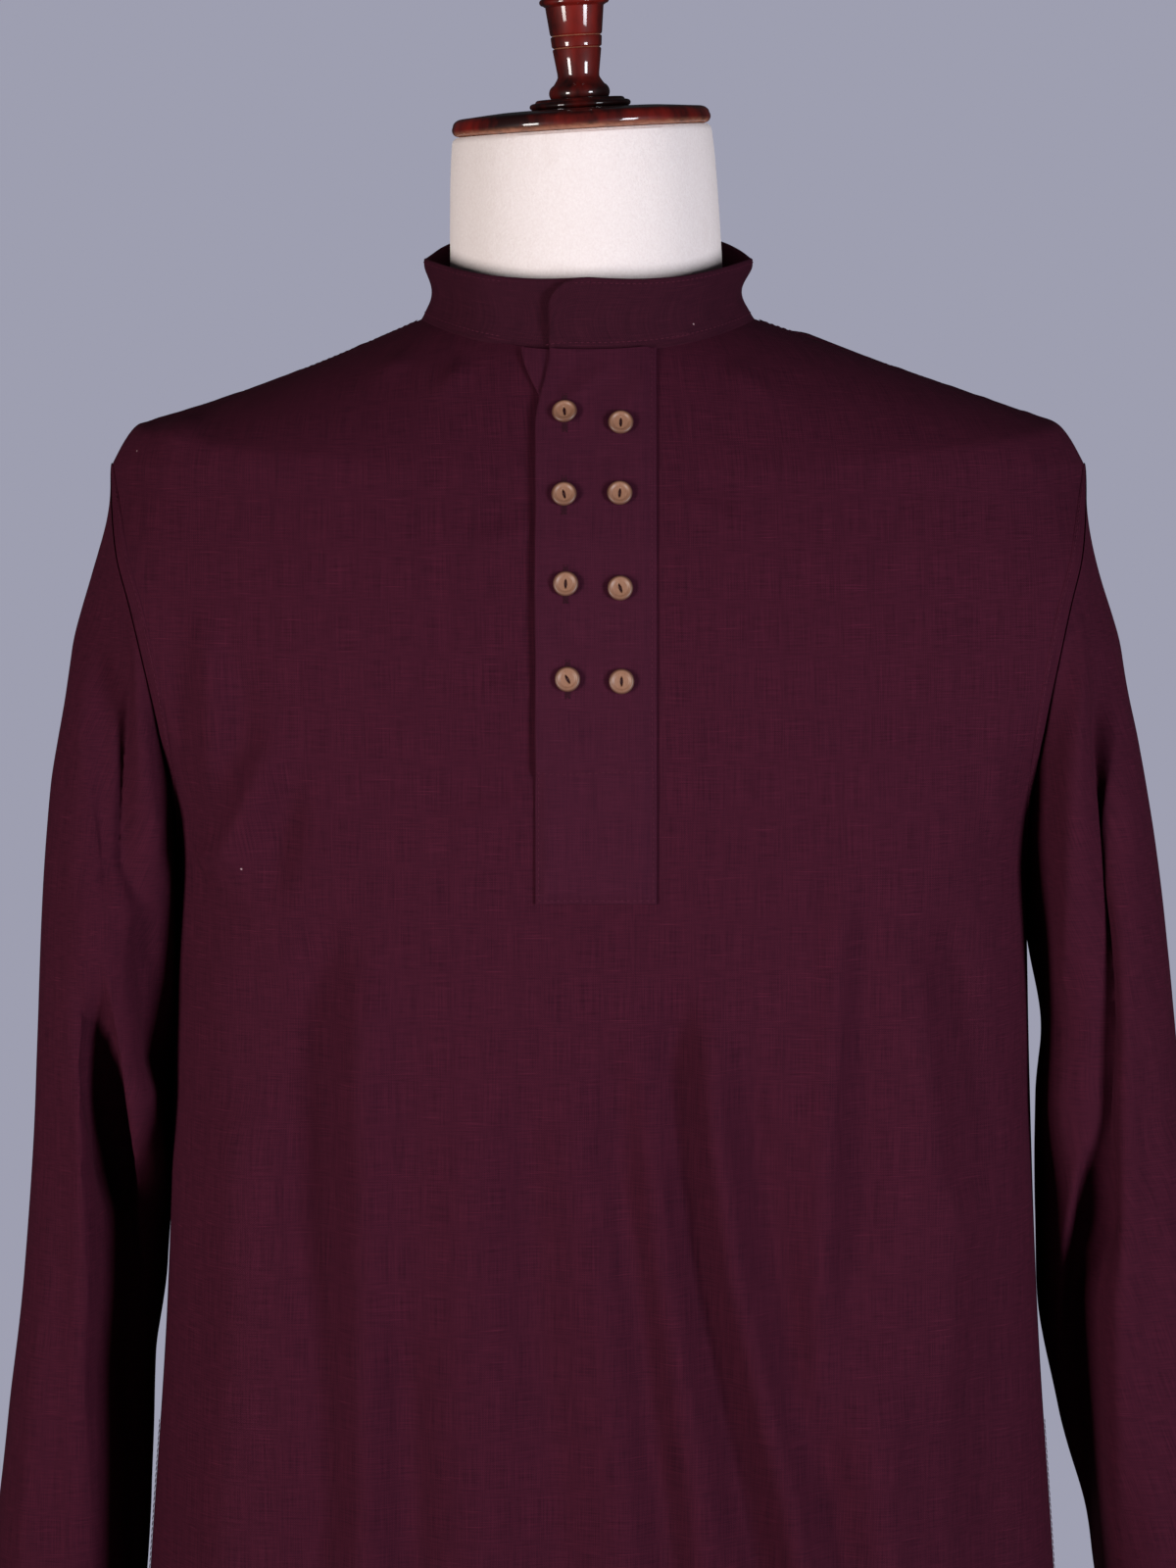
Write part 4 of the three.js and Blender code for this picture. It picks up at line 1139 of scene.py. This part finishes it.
# %% [markdown]
# ## Dress form
# The torso and neck are one padded body in cream jersey, made of rings that repeat the form's
# sizes with many more points, so that the neck is round. The neck leans a little to the left,
# and carries the cap and finial with it.

# %% Torso and neck
CAP_R = 63.4
CAP_Z = 1573
CAP_H = 11
CAP_TILT = math.radians(3.4)
NECK_LEAN_X = -7.1
NECK_Y = 4
CLEAR = 6  # how far the form lies inside the cloth at the neck
TORSO_FOOT = 752
NECK_FOOT = 1492
ROUNDNESS = 0.88  # below 1 squares the torso's section a little
torso_half = curve_through((752, 150), (790, 168), (880, 172), (1040, 152), (1130, 158), (UNDERARM_Z, 176),
                           (1300, 200), (1360, 216), (SHOULDER_Z, 229))
torso_depth = curve_through((752, 92), (790, 106), (880, 108), (1040, 94), (1130, 104), (UNDERARM_Z, 112),
                            (1320, 104), (SHOULDER_Z, 83))


def round_out(value, power):
    return np.sign(value) * np.abs(value) ** power


def torso_rings(columns):
    turns = np.linspace(0, 2 * math.pi, columns + 1)[:-1]
    c, s = np.cos(turns), np.sin(turns)
    rings = []
    for z in [TORSO_FOOT, 754, 760, *np.linspace(770, SHOULDER_Z, 44)]:
        tuck = 4 * max(0, 1 - (z - TORSO_FOOT) / 8) ** 2
        x = panel_shift(z) + (torso_half(z) - tuck) * round_out(c, ROUNDNESS)
        y = (torso_depth(z) - tuck) * round_out(s, ROUNDNESS)
        rings.append(np.stack([x, y, np.full(columns, z)], -1))
    side = np.where(s < 0, -1, 1)
    for step in np.linspace(0, 1, 19)[1:]:
        h = step**1.2
        wide = round_out(c, mix(ROUNDNESS, 1, h))
        deep = round_out(s, mix(ROUNDNESS, 1, h))
        climb = mix(h, shoulder_climb(h), np.abs(c) ** 3)
        reach = mix(torso_depth(SHOULDER_Z), np.where(side < 0, NECK_FRONT, NECK_BACK) - CLEAR, h)
        x = mix(panel_shift(SHOULDER_Z), NECK_SHIFT, h)
        x = x + mix(torso_half(SHOULDER_Z), NECK_HALF - CLEAR, h) * wide
        z = SHOULDER_Z + (neck_seam_z(side, c) - CLEAR - SHOULDER_Z) * climb
        rings.append(np.stack([x, reach * deep, z], -1))
    neck = curve_through((NECK_FOOT, 69), (1502, 67), (1530, 66), (CAP_Z - 2, CAP_R), (CAP_Z, CAP_R - 2))
    depth = curve_through((NECK_FOOT, 59), (1502, 58.5), (1530, 58.5), (CAP_Z - 2, 60), (CAP_Z, 58))
    for z in [*np.linspace(NECK_FOOT, CAP_Z - 3, 22), CAP_Z - 1.5, CAP_Z - 0.4, CAP_Z]:
        t = np.clip((z - NECK_SIDE_Z) / (CAP_Z - NECK_SIDE_Z), 0, 1)
        tilt = math.tan(CAP_TILT) * smooth(t * 1.1)
        x = mix(NECK_SHIFT, NECK_LEAN_X, t) + neck(z) * c
        rings.append(np.stack([x, NECK_Y + depth(z) * s, z + tilt * neck(z) * c], -1))
    return np.array(rings)


def make_jersey():
    """Cream knit with a short soft nap and a few faint marks."""
    material, tree, shader = new_material("cream_jersey")
    place = add_node(tree, "ShaderNodeTexCoord").outputs["Object"]
    nap = stretched_noise(tree, place, (900, 900, 700), 3.0, 0.7)
    loops = stretched_noise(tree, place, (2400, 2400, 1500), 1.0, 0.5)
    felt = stretched_noise(tree, place, (170, 170, 120), 3.0, 0.6)
    marks = stretched_noise(tree, place, (24, 24, 14), 3.0, 0.6)
    pale = mix_colours(tree, nap, (0.70, 0.60, 0.585, 1), (0.90, 0.83, 0.82, 1))
    pale = mix_colours(tree, calculate(tree, "MULTIPLY", felt, 0.22), pale, (0.66, 0.53, 0.51, 1))
    spot = calculate(tree, "MULTIPLY", calculate(
        tree, "MAXIMUM", calculate(tree, "SUBTRACT", marks, 0.6), 0.0), 1.1)
    height = calculate(tree, "ADD", calculate(tree, "MULTIPLY", nap, 0.8), calculate(
        tree, "ADD", calculate(tree, "MULTIPLY", loops, 0.4), felt))
    marked = mix_colours(tree, spot, pale, (0.55, 0.42, 0.38, 1))
    dress(tree, shader, marked, height, 0.5, 0.0006, Roughness=0.92, Specular_IOR_Level=0.12,
          Sheen_Weight=0.12)
    return material


cream_jersey = make_jersey()
torso_grid = torso_rings(120)
torso_padded = turned_piece("torso_padded", [torso_grid], [torso_grid[..., ::2]])
torso_padded.data.materials.append(cream_jersey)
report(torso_padded)

# %% [markdown]
# ## Turned wood
# The cap, the finial, the pole and the foot are turned on a lathe, so each is a profile of radius
# and height spun round. The lacquer is mottled dark and bright red under a hard gloss coat. The
# rims are rubbed pale, by an amount that is kept on the points of the mesh.


# %% Lacquer
def make_lacquer(name, dark, bright, worn, grain_scale):
    material, tree, shader = new_material(name)
    place = add_node(tree, "ShaderNodeTexCoord").outputs["Object"]
    mottle = stretched_noise(tree, place, grain_scale, 4.0, 0.6)
    cloud = stretched_noise(tree, place, (14, 14, 11), 2.0, 0.5)
    tone = calculate(tree, "ADD", calculate(tree, "MULTIPLY_ADD", mottle, 2.6, -1.2),
                     calculate(tree, "MULTIPLY_ADD", cloud, 1.4, -0.55))
    red = mix_colours(tree, clamped(tree, tone), (*dark, 1), (*bright, 1))
    rub = add_node(tree, "ShaderNodeAttribute", attribute_name="rubbed")
    patchy = stretched_noise(tree, place, (150, 150, 420), 3.0, 0.7)
    patches = calculate(tree, "MULTIPLY_ADD", patchy, 2.4, -0.3)
    bare = clamped(tree, calculate(tree, "MULTIPLY", rub.outputs["Fac"], patches))
    dress(tree, shader, mix_colours(tree, bare, red, (*worn, 1)), mottle, 0.12, 0.0006,
          Specular_IOR_Level=0.15, Coat_Roughness=0.06)
    join(tree, calculate(tree, "MULTIPLY_ADD", bare, 0.2, 0.5), shader.inputs["Roughness"])
    join(tree, calculate(tree, "MULTIPLY_ADD", bare, -0.6, 0.95), shader.inputs["Coat Weight"])
    return material


cap_lacquer = make_lacquer("cap_lacquer", (0.014, 0.0022, 0.0022), (0.185, 0.0085, 0.005),
                           (0.36, 0.15, 0.09), (60, 60, 22))
stand_lacquer = make_lacquer("stand_lacquer", (0.018, 0.005, 0.004), (0.085, 0.012, 0.009),
                             (0.25, 0.12, 0.07), (90, 90, 12))


# %% Turned pieces
def spin_profile(pairs, columns):
    """Rings of a turned shape from (radius, height) pairs, on the axis at both ends."""
    pairs = np.array(pairs, float)
    pairs[:, 0] = np.maximum(pairs[:, 0], 0.02)
    turns = np.linspace(0, 2 * math.pi, columns + 1)[:-1]
    ring = np.stack([np.cos(turns), np.sin(turns)], -1)
    grid = np.zeros((len(pairs), columns, 3))
    grid[..., :2] = pairs[:, None, :1] * ring[None]
    grid[..., 2] = pairs[:, 1:]
    return grid


def on_head(grid, base):
    """From the turned shape's own axis to its place on the leaning neck."""
    c, s = math.cos(CAP_TILT), math.sin(CAP_TILT)
    z = grid[..., 2] + base
    x = grid[..., 0] * c - z * s
    up = grid[..., 0] * s + z * c
    return np.stack([NECK_LEAN_X + x, NECK_Y + grid[..., 1], CAP_Z + SEAM + up], -1)


def turned_wood(name, profile, place, material, rubbed=None, columns=96):
    own = spin_profile(profile, columns)
    piece = turned_piece(name, [place(own)], [own[..., ::2]], crisp=38)
    rub = piece.data.attributes.new("rubbed", "FLOAT", "POINT")
    amount = np.zeros(own.shape[:2]) if rubbed is None else rubbed(own)
    rub.data.foreach_set("value", amount.astype(np.float32).ravel())
    piece.data.materials.append(material)
    report(piece)
    return piece


def arc(centre, radius, start, end, steps=6):
    """Points of a round moulding in the profile."""
    angles = np.radians(np.linspace(start, end, steps))
    return [(centre[0] + radius * math.cos(a), centre[1] + radius * math.sin(a)) for a in angles]


cap_profile = [
    (0, 0), (CAP_R - 3.4, 0), *arc((CAP_R - 3.2, 3.4), 3.2, -88, 30, 8),
    *arc((CAP_R - 5, 3.6), 5, 34, 80, 6), (CAP_R - 9, 8.95), (CAP_R - 16, 9.6), (40, 10.2),
    (26, CAP_H - 0.4), (0, CAP_H - 0.4)]
neck_cap_turned = turned_wood(
    "neck_cap_turned", cap_profile, lambda g: on_head(g, 0), cap_lacquer,
    lambda g: smooth((3.0 - g[..., 2]) / 2.6) * smooth((np.hypot(g[..., 0], g[..., 1]) - CAP_R + 6) / 3))

# A flange, a bulb, a stem with two grooves, a ring and a plain egg-shaped knob.
LOW_GROOVE = 29.1
HIGH_GROOVE = 35.1
finial_profile = [
    (0, 0), (23.6, 0), *arc((23.3, 1.5), 1.5, -70, 60, 5), (23.2, 3.1), *arc((20.4, 3.0), 1.6, 10, 88, 5),
    (16.2, 4.3), (14.0, 4.6), *arc((10.4, 7.4), 4.5, -32, 62, 9), (11.6, 12.6), (10.6, 14.2), (10.2, 15.2),
    (10.3, 17), (11.9, 28.2), (11.7, 28.7), (11.0, LOW_GROOVE), (11.7, 29.5), (12.2, 30), (12.55, 34.2),
    (12.3, 34.7), (11.6, HIGH_GROOVE), (12.4, 35.5), (12.8, 36.2), (14.3, 49.2),
    *arc((15.4, 51.7), 1.7, -85, 85, 8), (14.2, 54.2),
    *[(18.6 * math.cos(t), 69 + 20 * math.sin(t)) for t in np.radians(np.linspace(-43, 88, 22))], (0, 89)]


def in_grooves(grid):
    near = [np.abs(grid[..., 2] - groove) < 0.3 for groove in (LOW_GROOVE, HIGH_GROOVE)]
    return 1.0 * (near[0] | near[1])


finial_turned = turned_wood(
    "finial_turned", finial_profile, lambda g: on_head(g, CAP_H - 0.4 + SEAM), cap_lacquer, in_grooves)

# %% Board, pole and foot of the stand
PLATE_H = 14
POLE_R = 17
BASE_R = 190
BASE_H = 34


def stay(grid):
    return grid


pole_top = TORSO_FOOT - PLATE_H - 2 * SEAM
pole_foot = BASE_H + 6 + SEAM
pole_turned = turned_wood(
    "pole_turned",
    [(0, pole_foot), (POLE_R - 1, pole_foot), (POLE_R, pole_foot + 1), (POLE_R, pole_top - 26),
     *arc((POLE_R + 6.6, pole_top - 23), 1.4, -90, 0, 4), (POLE_R + 8, pole_top - 1), (POLE_R + 7, pole_top),
     (0, pole_top)], stay, stand_lacquer, columns=64)
base_turned = turned_wood(
    "base_turned",
    [(0, 0), (BASE_R - 4, 0), (BASE_R - 3.4, 0.1), *arc((BASE_R - 4, 4), 4, -60, 0, 5), (BASE_R, 12),
     *arc((BASE_R - 5, 12.5), 5, 4, 86, 6), (BASE_R - 8, 18.6), *arc((BASE_R - 11, 18), 2.2, 60, 110, 4),
     (BASE_R * 0.8, 22.8), (BASE_R * 0.6, 26), (60, 28.2), (46, 29.4), (40, 31.2), (34, 35.4), (31.6, 37),
     *arc((28.6, BASE_H + 4.6), 1.4, 0, 90, 4), (0, BASE_H + 6)],
    stay, stand_lacquer, lambda g: 0.5 * smooth((np.hypot(g[..., 0], g[..., 1]) - BASE_R + 3) / 3))


def board_rings():
    turns = np.linspace(0, 2 * math.pi, 97)[:-1]
    c, s = round_out(np.cos(turns), ROUNDNESS), round_out(np.sin(turns), ROUNDNESS)
    low, high = TORSO_FOOT - SEAM - PLATE_H, TORSO_FOOT - SEAM
    rings = []
    edge = ((0, 4.2), (0.5, 3.5), (1.2, 3))
    for z, tuck in [(low + up, tuck) for up, tuck in edge] + [(high - up, tuck) for up, tuck in edge[::-1]]:
        x = panel_shift(z) + (torso_half(TORSO_FOOT) - tuck) * c
        rings.append(np.stack([x, (torso_depth(TORSO_FOOT) - tuck) * s, np.full(len(turns), z)], -1))
    return np.array(rings)


board_grid = board_rings()
board_cut = turned_piece("board_cut", [board_grid], [board_grid[..., :2]])
board_cut.data.materials.append(stand_lacquer)
report(board_cut)

# %% [markdown]
# ## Seams
# Where two cloths are felled together, a narrow doubled band lies along the seam, a little proud.
# Each band is a thin strip on the panel's own form. It puckers slightly, because its stitches
# draw the cloth up.


# %% Felled bands
def panel_surface(side, u, level, out=0.0):
    """Points on a panel by share across and level, moved out over its creases."""
    u, level = np.broadcast_arrays(np.asarray(u, float), np.asarray(level, float))
    point = panel_point(side, u, level)
    inside = np.clip(u, -0.985, 0.985)
    rise = np.where(level > SHOULDER_Z - 1, 0.015, 1.5)
    right = panel_point(side, inside + 0.01, level) - panel_point(side, inside - 0.01, level)
    up = panel_point(side, inside, level + rise) - panel_point(side, inside, level - rise)
    normal = np.cross(right, up)
    normal = -side * normal / np.linalg.norm(normal, axis=-1, keepdims=True)
    lift = panel_creases(side, point[..., 0], point[..., 2], u)
    return point + normal * (out + lift)[..., None], normal


def inset_share(side, hand, level, inset):
    """The share across at which a panel is inset millimetres in from its side edge."""
    near = panel_point(side, hand * 0.999, level)
    further = panel_point(side, hand * 0.985, level)
    per_share = np.linalg.norm(near - further, axis=-1) / 0.014
    return hand * (1 - inset / np.maximum(per_share, 40))


FELL_WIDTH = 7.5
FELL_HEIGHT = 0.45


def felled_band(name, side, hand, levels, seed):
    across_band = np.array([0.3, 0.5, 0.9, 2.4, 4, FELL_WIDTH - 1, FELL_WIDTH - 0.35, FELL_WIDTH])
    profile = np.array([0.05, 0.7, 1, 1, 1, 1, 0.75, 0.05])
    share_at = inset_share(side, hand, levels[:, None], across_band[None, :])
    if hand * side < 0:
        share_at, profile = share_at[:, ::-1], profile[::-1]
    travelled = np.concatenate([[0], np.cumsum(np.linalg.norm(np.diff(
        panel_point(side, hand * 0.98, levels), axis=0), axis=-1))])
    pucker = 0.26 * wander(travelled, 5.5, seed)[:, None] * (profile[None, :] > 0.9)
    outer, _ = panel_surface(side, share_at, levels[:, None], FELL_HEIGHT * profile[None, :] + pucker)
    inner, _ = panel_surface(side, share_at, levels[:, None], 0.02)
    cut = np.stack([along_rows(outer), np.repeat(travelled[:, None], len(profile), 1)], -1)
    band = cloth_wall(name, outer, inner, cut)
    band.data.materials.append(body_cotton)
    return band


armhole_share = (1 - np.cos(np.linspace(0, math.pi, 150))) / 2
armhole_levels = UNDERARM_Z + 1 + (SHOULDER_Z - UNDERARM_Z - 2) * armhole_share
shoulder_levels = SHOULDER_Z + np.linspace(0.02, 0.97, 120) ** 1.1
side_levels = np.linspace(SLIT_Z, UNDERARM_Z - 2, 150)
bands = []
for hand, word in ((-1, "left"), (1, "right")):
    for part, side, levels, seed in (
            ("armhole_band_front", -1, armhole_levels, 71), ("armhole_band_back", 1, armhole_levels, 74),
            ("shoulder_band", 1, shoulder_levels, 77), ("side_band", 1, side_levels, 80)):
        bands.append(felled_band(f"{part}_{word}", side, hand, levels, seed + hand))
print(len(bands), "felled bands")

# %% [markdown]
# ## Stitches
# Every seam line is a chain of points on the cloth. One Geometry Nodes tree walks along the
# chains, sets a small round-ended stitch at each step, turned along the line, and makes the
# result real. The sizes are inputs, and a fixed seed varies the stitches' lengths.


# %% Stitch tree
def make_stitch_tree():
    tree = bpy.data.node_groups.new("stitch_rows", "GeometryNodeTree")
    tree.interface.new_socket("Rows", in_out="INPUT", socket_type="NodeSocketGeometry")
    for label in ("Pitch", "Length", "Thickness"):
        tree.interface.new_socket(label, in_out="INPUT", socket_type="NodeSocketFloat")
    tree.interface.new_socket("Thread", in_out="INPUT", socket_type="NodeSocketMaterial")
    tree.interface.new_socket("Stitches", in_out="OUTPUT", socket_type="NodeSocketGeometry")
    given, result = add_node(tree, "NodeGroupInput"), add_node(tree, "NodeGroupOutput")
    curve = add_node(tree, "GeometryNodeMeshToCurve")
    join(tree, given.outputs["Rows"], curve.inputs["Mesh"])
    even = add_node(tree, "GeometryNodeResampleCurve", mode="LENGTH")
    join(tree, curve.outputs["Curve"], even.inputs["Curve"])
    join(tree, given.outputs["Pitch"], even.inputs["Length"])
    grain = add_node(tree, "GeometryNodeMeshIcoSphere", {"Radius": 0.5, "Subdivisions": 1})
    sizes = add_node(tree, "ShaderNodeCombineXYZ")
    vary = add_node(tree, "FunctionNodeRandomValue", data_type="FLOAT")
    vary.inputs[2].default_value = 0.86
    vary.inputs[3].default_value = 1.08
    vary.inputs["Seed"].default_value = 5
    length = calculate(tree, "MULTIPLY", given.outputs["Length"], vary.outputs[1])
    join(tree, length, sizes.inputs["X"])
    join(tree, given.outputs["Thickness"], sizes.inputs["Y"])
    join(tree, given.outputs["Thickness"], sizes.inputs["Z"])
    tangent = add_node(tree, "GeometryNodeInputTangent")
    along = add_node(tree, "FunctionNodeAlignRotationToVector", axis="X")
    join(tree, tangent.outputs[0], along.inputs["Vector"])
    sown = add_node(tree, "GeometryNodeInstanceOnPoints")
    join(tree, even.outputs["Curve"], sown.inputs["Points"])
    join(tree, grain.outputs["Mesh"], sown.inputs["Instance"])
    join(tree, along.outputs[0], sown.inputs["Rotation"])
    join(tree, sizes.outputs[0], sown.inputs["Scale"])
    real = add_node(tree, "GeometryNodeRealizeInstances")
    join(tree, sown.outputs[0], real.inputs[0])
    sheen = add_node(tree, "GeometryNodeSetShadeSmooth")
    join(tree, real.outputs[0], sheen.inputs[0])
    finish = add_node(tree, "GeometryNodeSetMaterial")
    join(tree, sheen.outputs[0], finish.inputs[0])
    join(tree, given.outputs["Thread"], finish.inputs["Material"])
    join(tree, finish.outputs[0], result.inputs[0])
    return tree


stitch_tree = make_stitch_tree()
stitch_input = {s.name: s.identifier for s in stitch_tree.interface.items_tree if s.in_out == "INPUT"}


def sew(name, rows, thread, pitch=3.0, length=2.1, thickness=0.5):
    """Stitches along rows of points in millimetres, as one mesh."""
    points, edges = [], []
    for row in rows:
        start = len(points)
        points += (np.asarray(row) * MM).tolist()
        edges += [(start + i, start + i + 1) for i in range(len(row) - 1)]
    guide_mesh = bpy.data.meshes.new(f"{name}_guide")
    guide_mesh.from_pydata(points, edges, [])
    guide = new_object(f"{name}_guide", guide_mesh)
    modifier = guide.modifiers.new("stitch_rows", "NODES")
    modifier.node_group = stitch_tree
    for label, value in (("Pitch", pitch), ("Length", length), ("Thickness", thickness)):
        modifier[stitch_input[label]] = value * MM
    modifier[stitch_input["Thread"]] = thread
    ready = guide.evaluated_get(bpy.context.evaluated_depsgraph_get())
    mesh = bpy.data.meshes.new_from_object(ready)
    bpy.data.objects.remove(guide)
    mesh.name = name
    sewn = new_object(name, mesh)
    report(sewn)
    return sewn


# %% Rows on the placket and collar
def placket_row(x, z, out=0.12):
    """A row on the face of the lapping strip."""
    x, z = np.broadcast_arrays(np.asarray(x, float), np.asarray(z, float))
    point, way = on_front(x, level_at(z), OVER_OUT + STRIP + out)
    lift = crease_height(PLACKET_CREASES, x, point[..., 2])
    lift = lift + 0.16 * slack(3 * x, 2 * point[..., 2], OVER_SEED)
    lift = lift - pressed_down(x, point[..., 2])
    return point + way * lift[..., None]


def collar_row(start, end, climb):
    """A row round the collar's outer face, from one angle to another in degrees."""
    turns = np.radians(np.arange(start, end, 1.2))
    climbs = np.array([[climb - 0.02], [climb], [climb + 0.02]])
    middle = collar_point(turns[None, :], climbs, -BAND / 2)
    way = grid_normals(middle)[1]
    lift = collar_wave(turns, climb) + BAND / 2 + 0.1
    return middle[1] + way * lift[:, None]


box_foot = PLACKET_FOOT + 1.8
box_left = -27.3
box_right = 26.9
across_box = np.arange(box_left, box_right + 0.3, 2.0)
placket_rows = [
    placket_row(26.2, np.arange(NECK_FRONT_Z - 2, BOX_TOP, -2.0)),
    placket_row(box_right, np.arange(BOX_TOP, box_foot, -2.0)),
    placket_row(np.arange(box_right, box_left - 0.1, -2.0), box_foot),
    placket_row(box_left, np.arange(box_foot, BOX_TOP, 2.0)),
    placket_row(across_box, BOX_TOP + 0.6 * np.sin(across_box / 9)),
]
collar_rows = [collar_row(-104, 238, 0.1), collar_row(-94, 238, 0.93)]
placket_stitches = sew("placket_stitches", placket_rows, maroon_thread)
collar_stitches = sew("collar_stitches", collar_rows, maroon_thread, pitch=2.8, length=2.0)


# %% Rows on the body and sleeves
PROUD = 0.2  # how far a row's middle stands out of the cloth


def edge_row(side, hand, levels, inset, out=PROUD):
    return panel_surface(side, inset_share(side, hand, levels, inset), levels, out)[0]


def hem_row(side, height):
    return panel_surface(side, np.linspace(-0.97, 0.97, 240), height, PROUD)[0]


def cuff_row(hand, height):
    turns = np.linspace(0, 2 * math.pi, 150)[None, :]
    down = np.array([[0.999], [0.97], [0.94]])
    form = sleeve_point(hand, turns, down)
    lift = sleeve_lift(hand, turns, form, down) + PROUD
    lifted = form + grid_normals(form, wrap=True) * lift[..., None]
    share_up = np.clip((height - lifted[0, :, 2]) / (lifted[2, :, 2] - lifted[0, :, 2]), 0, 1)[:, None]
    return mix(lifted[0], lifted[2], share_up)


HEM_TURN = 24
CUFF_TURN = 22
FELL_ROW = 5.8  # how far in from the seam the band's row runs
ON_BAND = FELL_HEIGHT + 0.1
slit_levels = np.arange(HEM_Z + 2, SLIT_Z, 2.0)
body_rows = []
for side in (-1, 1):
    body_rows.append(hem_row(side, HEM_Z + HEM_TURN))
    for hand in (-1, 1):
        body_rows.append(edge_row(side, hand, armhole_levels, FELL_ROW, ON_BAND))
        body_rows += [edge_row(side, hand, slit_levels, inset) for inset in (3.2, 8.6)]
for hand in (-1, 1):
    for levels in (shoulder_levels, side_levels):
        body_rows.append(edge_row(1, hand, levels, FELL_ROW, ON_BAND))
body_stitches = sew("body_stitches", body_rows, maroon_thread, pitch=3.1, length=2.2, thickness=0.42)
cuff_stitches = [
    sew(f"cuff_stitches_{word}", [cuff_row(hand, CUFF_Z + up) for up in (3, CUFF_TURN)], maroon_thread,
        thickness=0.42)
    for hand, word in ((-1, "left"), (1, "right"))]


# %% Buttonholes
def buttonhole_rows():
    """Close bars down both sides of each slit, set across it, behind the left column."""
    rows = []
    for name in ("button_a1", "button_a2", "button_a3", "button_a4"):
        x, z = BUTTONS[name][:2]
        for step in np.arange(-8.3, 8.4, 0.62):
            for side in (-1, 1):
                rows.append(placket_row(x + side * np.array([0.15, 0.85]), z + step, 0.1))
        for end in (-8.8, 8.8):
            rows.append(placket_row(x + np.array([-0.9, 0.9]), z + end))
    return rows


buttonhole_stitches = sew("buttonhole_stitches", buttonhole_rows(), dark_thread, pitch=5, length=1.3)

# %% [markdown]
# ## Hand the pieces to the frame
# Nothing here moves, so everything rides on the one body. Each cloth stands for its solid in the
# imported model, which is hidden.

# %% Ride and replace
stands_for = [
    (front_cloth, "kurta_front", "kurta_cotton"), (back_cloth, "kurta_back", "kurta_cotton"),
    (sleeve_cloth_left, "sleeve_left", "kurta_cotton"), (sleeve_cloth_right, "sleeve_right", "kurta_cotton"),
    (collar_band, "collar", "placket_cotton"), (placket_under_strip, "placket_under", "placket_cotton"),
    (placket_over_strip, "placket_over", "placket_cotton"), (torso_padded, "form_torso", "form_jersey"),
    (board_cut, "form_plate", "form_wood"), (pole_turned, "pole", "form_wood"),
    (base_turned, "base", "form_wood"), (neck_cap_turned, "neck_cap", "cap_wood"),
    (finial_turned, "finial", "cap_wood"),
]
stands_for += [(piece, node, "button_wood") for node, piece in button_pieces.items()]
for piece, node, finish in stands_for:
    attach(piece, "root")
    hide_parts(node)

trims = [*bands, placket_stitches, collar_stitches, body_stitches, *cuff_stitches, buttonhole_stitches,
         *thread_pieces]
for piece in trims:
    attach(piece, "root")
print(len(stands_for), "pieces stand for solids and", len(trims), "are added")


# %% Sheets
def measured_area(piece):
    return sum(p.area for p in piece.data.polygons) / 2


for piece in (front_cloth, back_cloth, sleeve_cloth_left, sleeve_cloth_right, collar_band,
              placket_under_strip, placket_over_strip):
    print(piece.name, "area", round(measured_area(piece), 4))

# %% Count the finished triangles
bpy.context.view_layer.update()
faces = [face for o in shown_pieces() if o.type == "MESH" for face in o.data.polygons]
print("triangles in all:", sum(len(face.vertices) - 2 for face in faces))
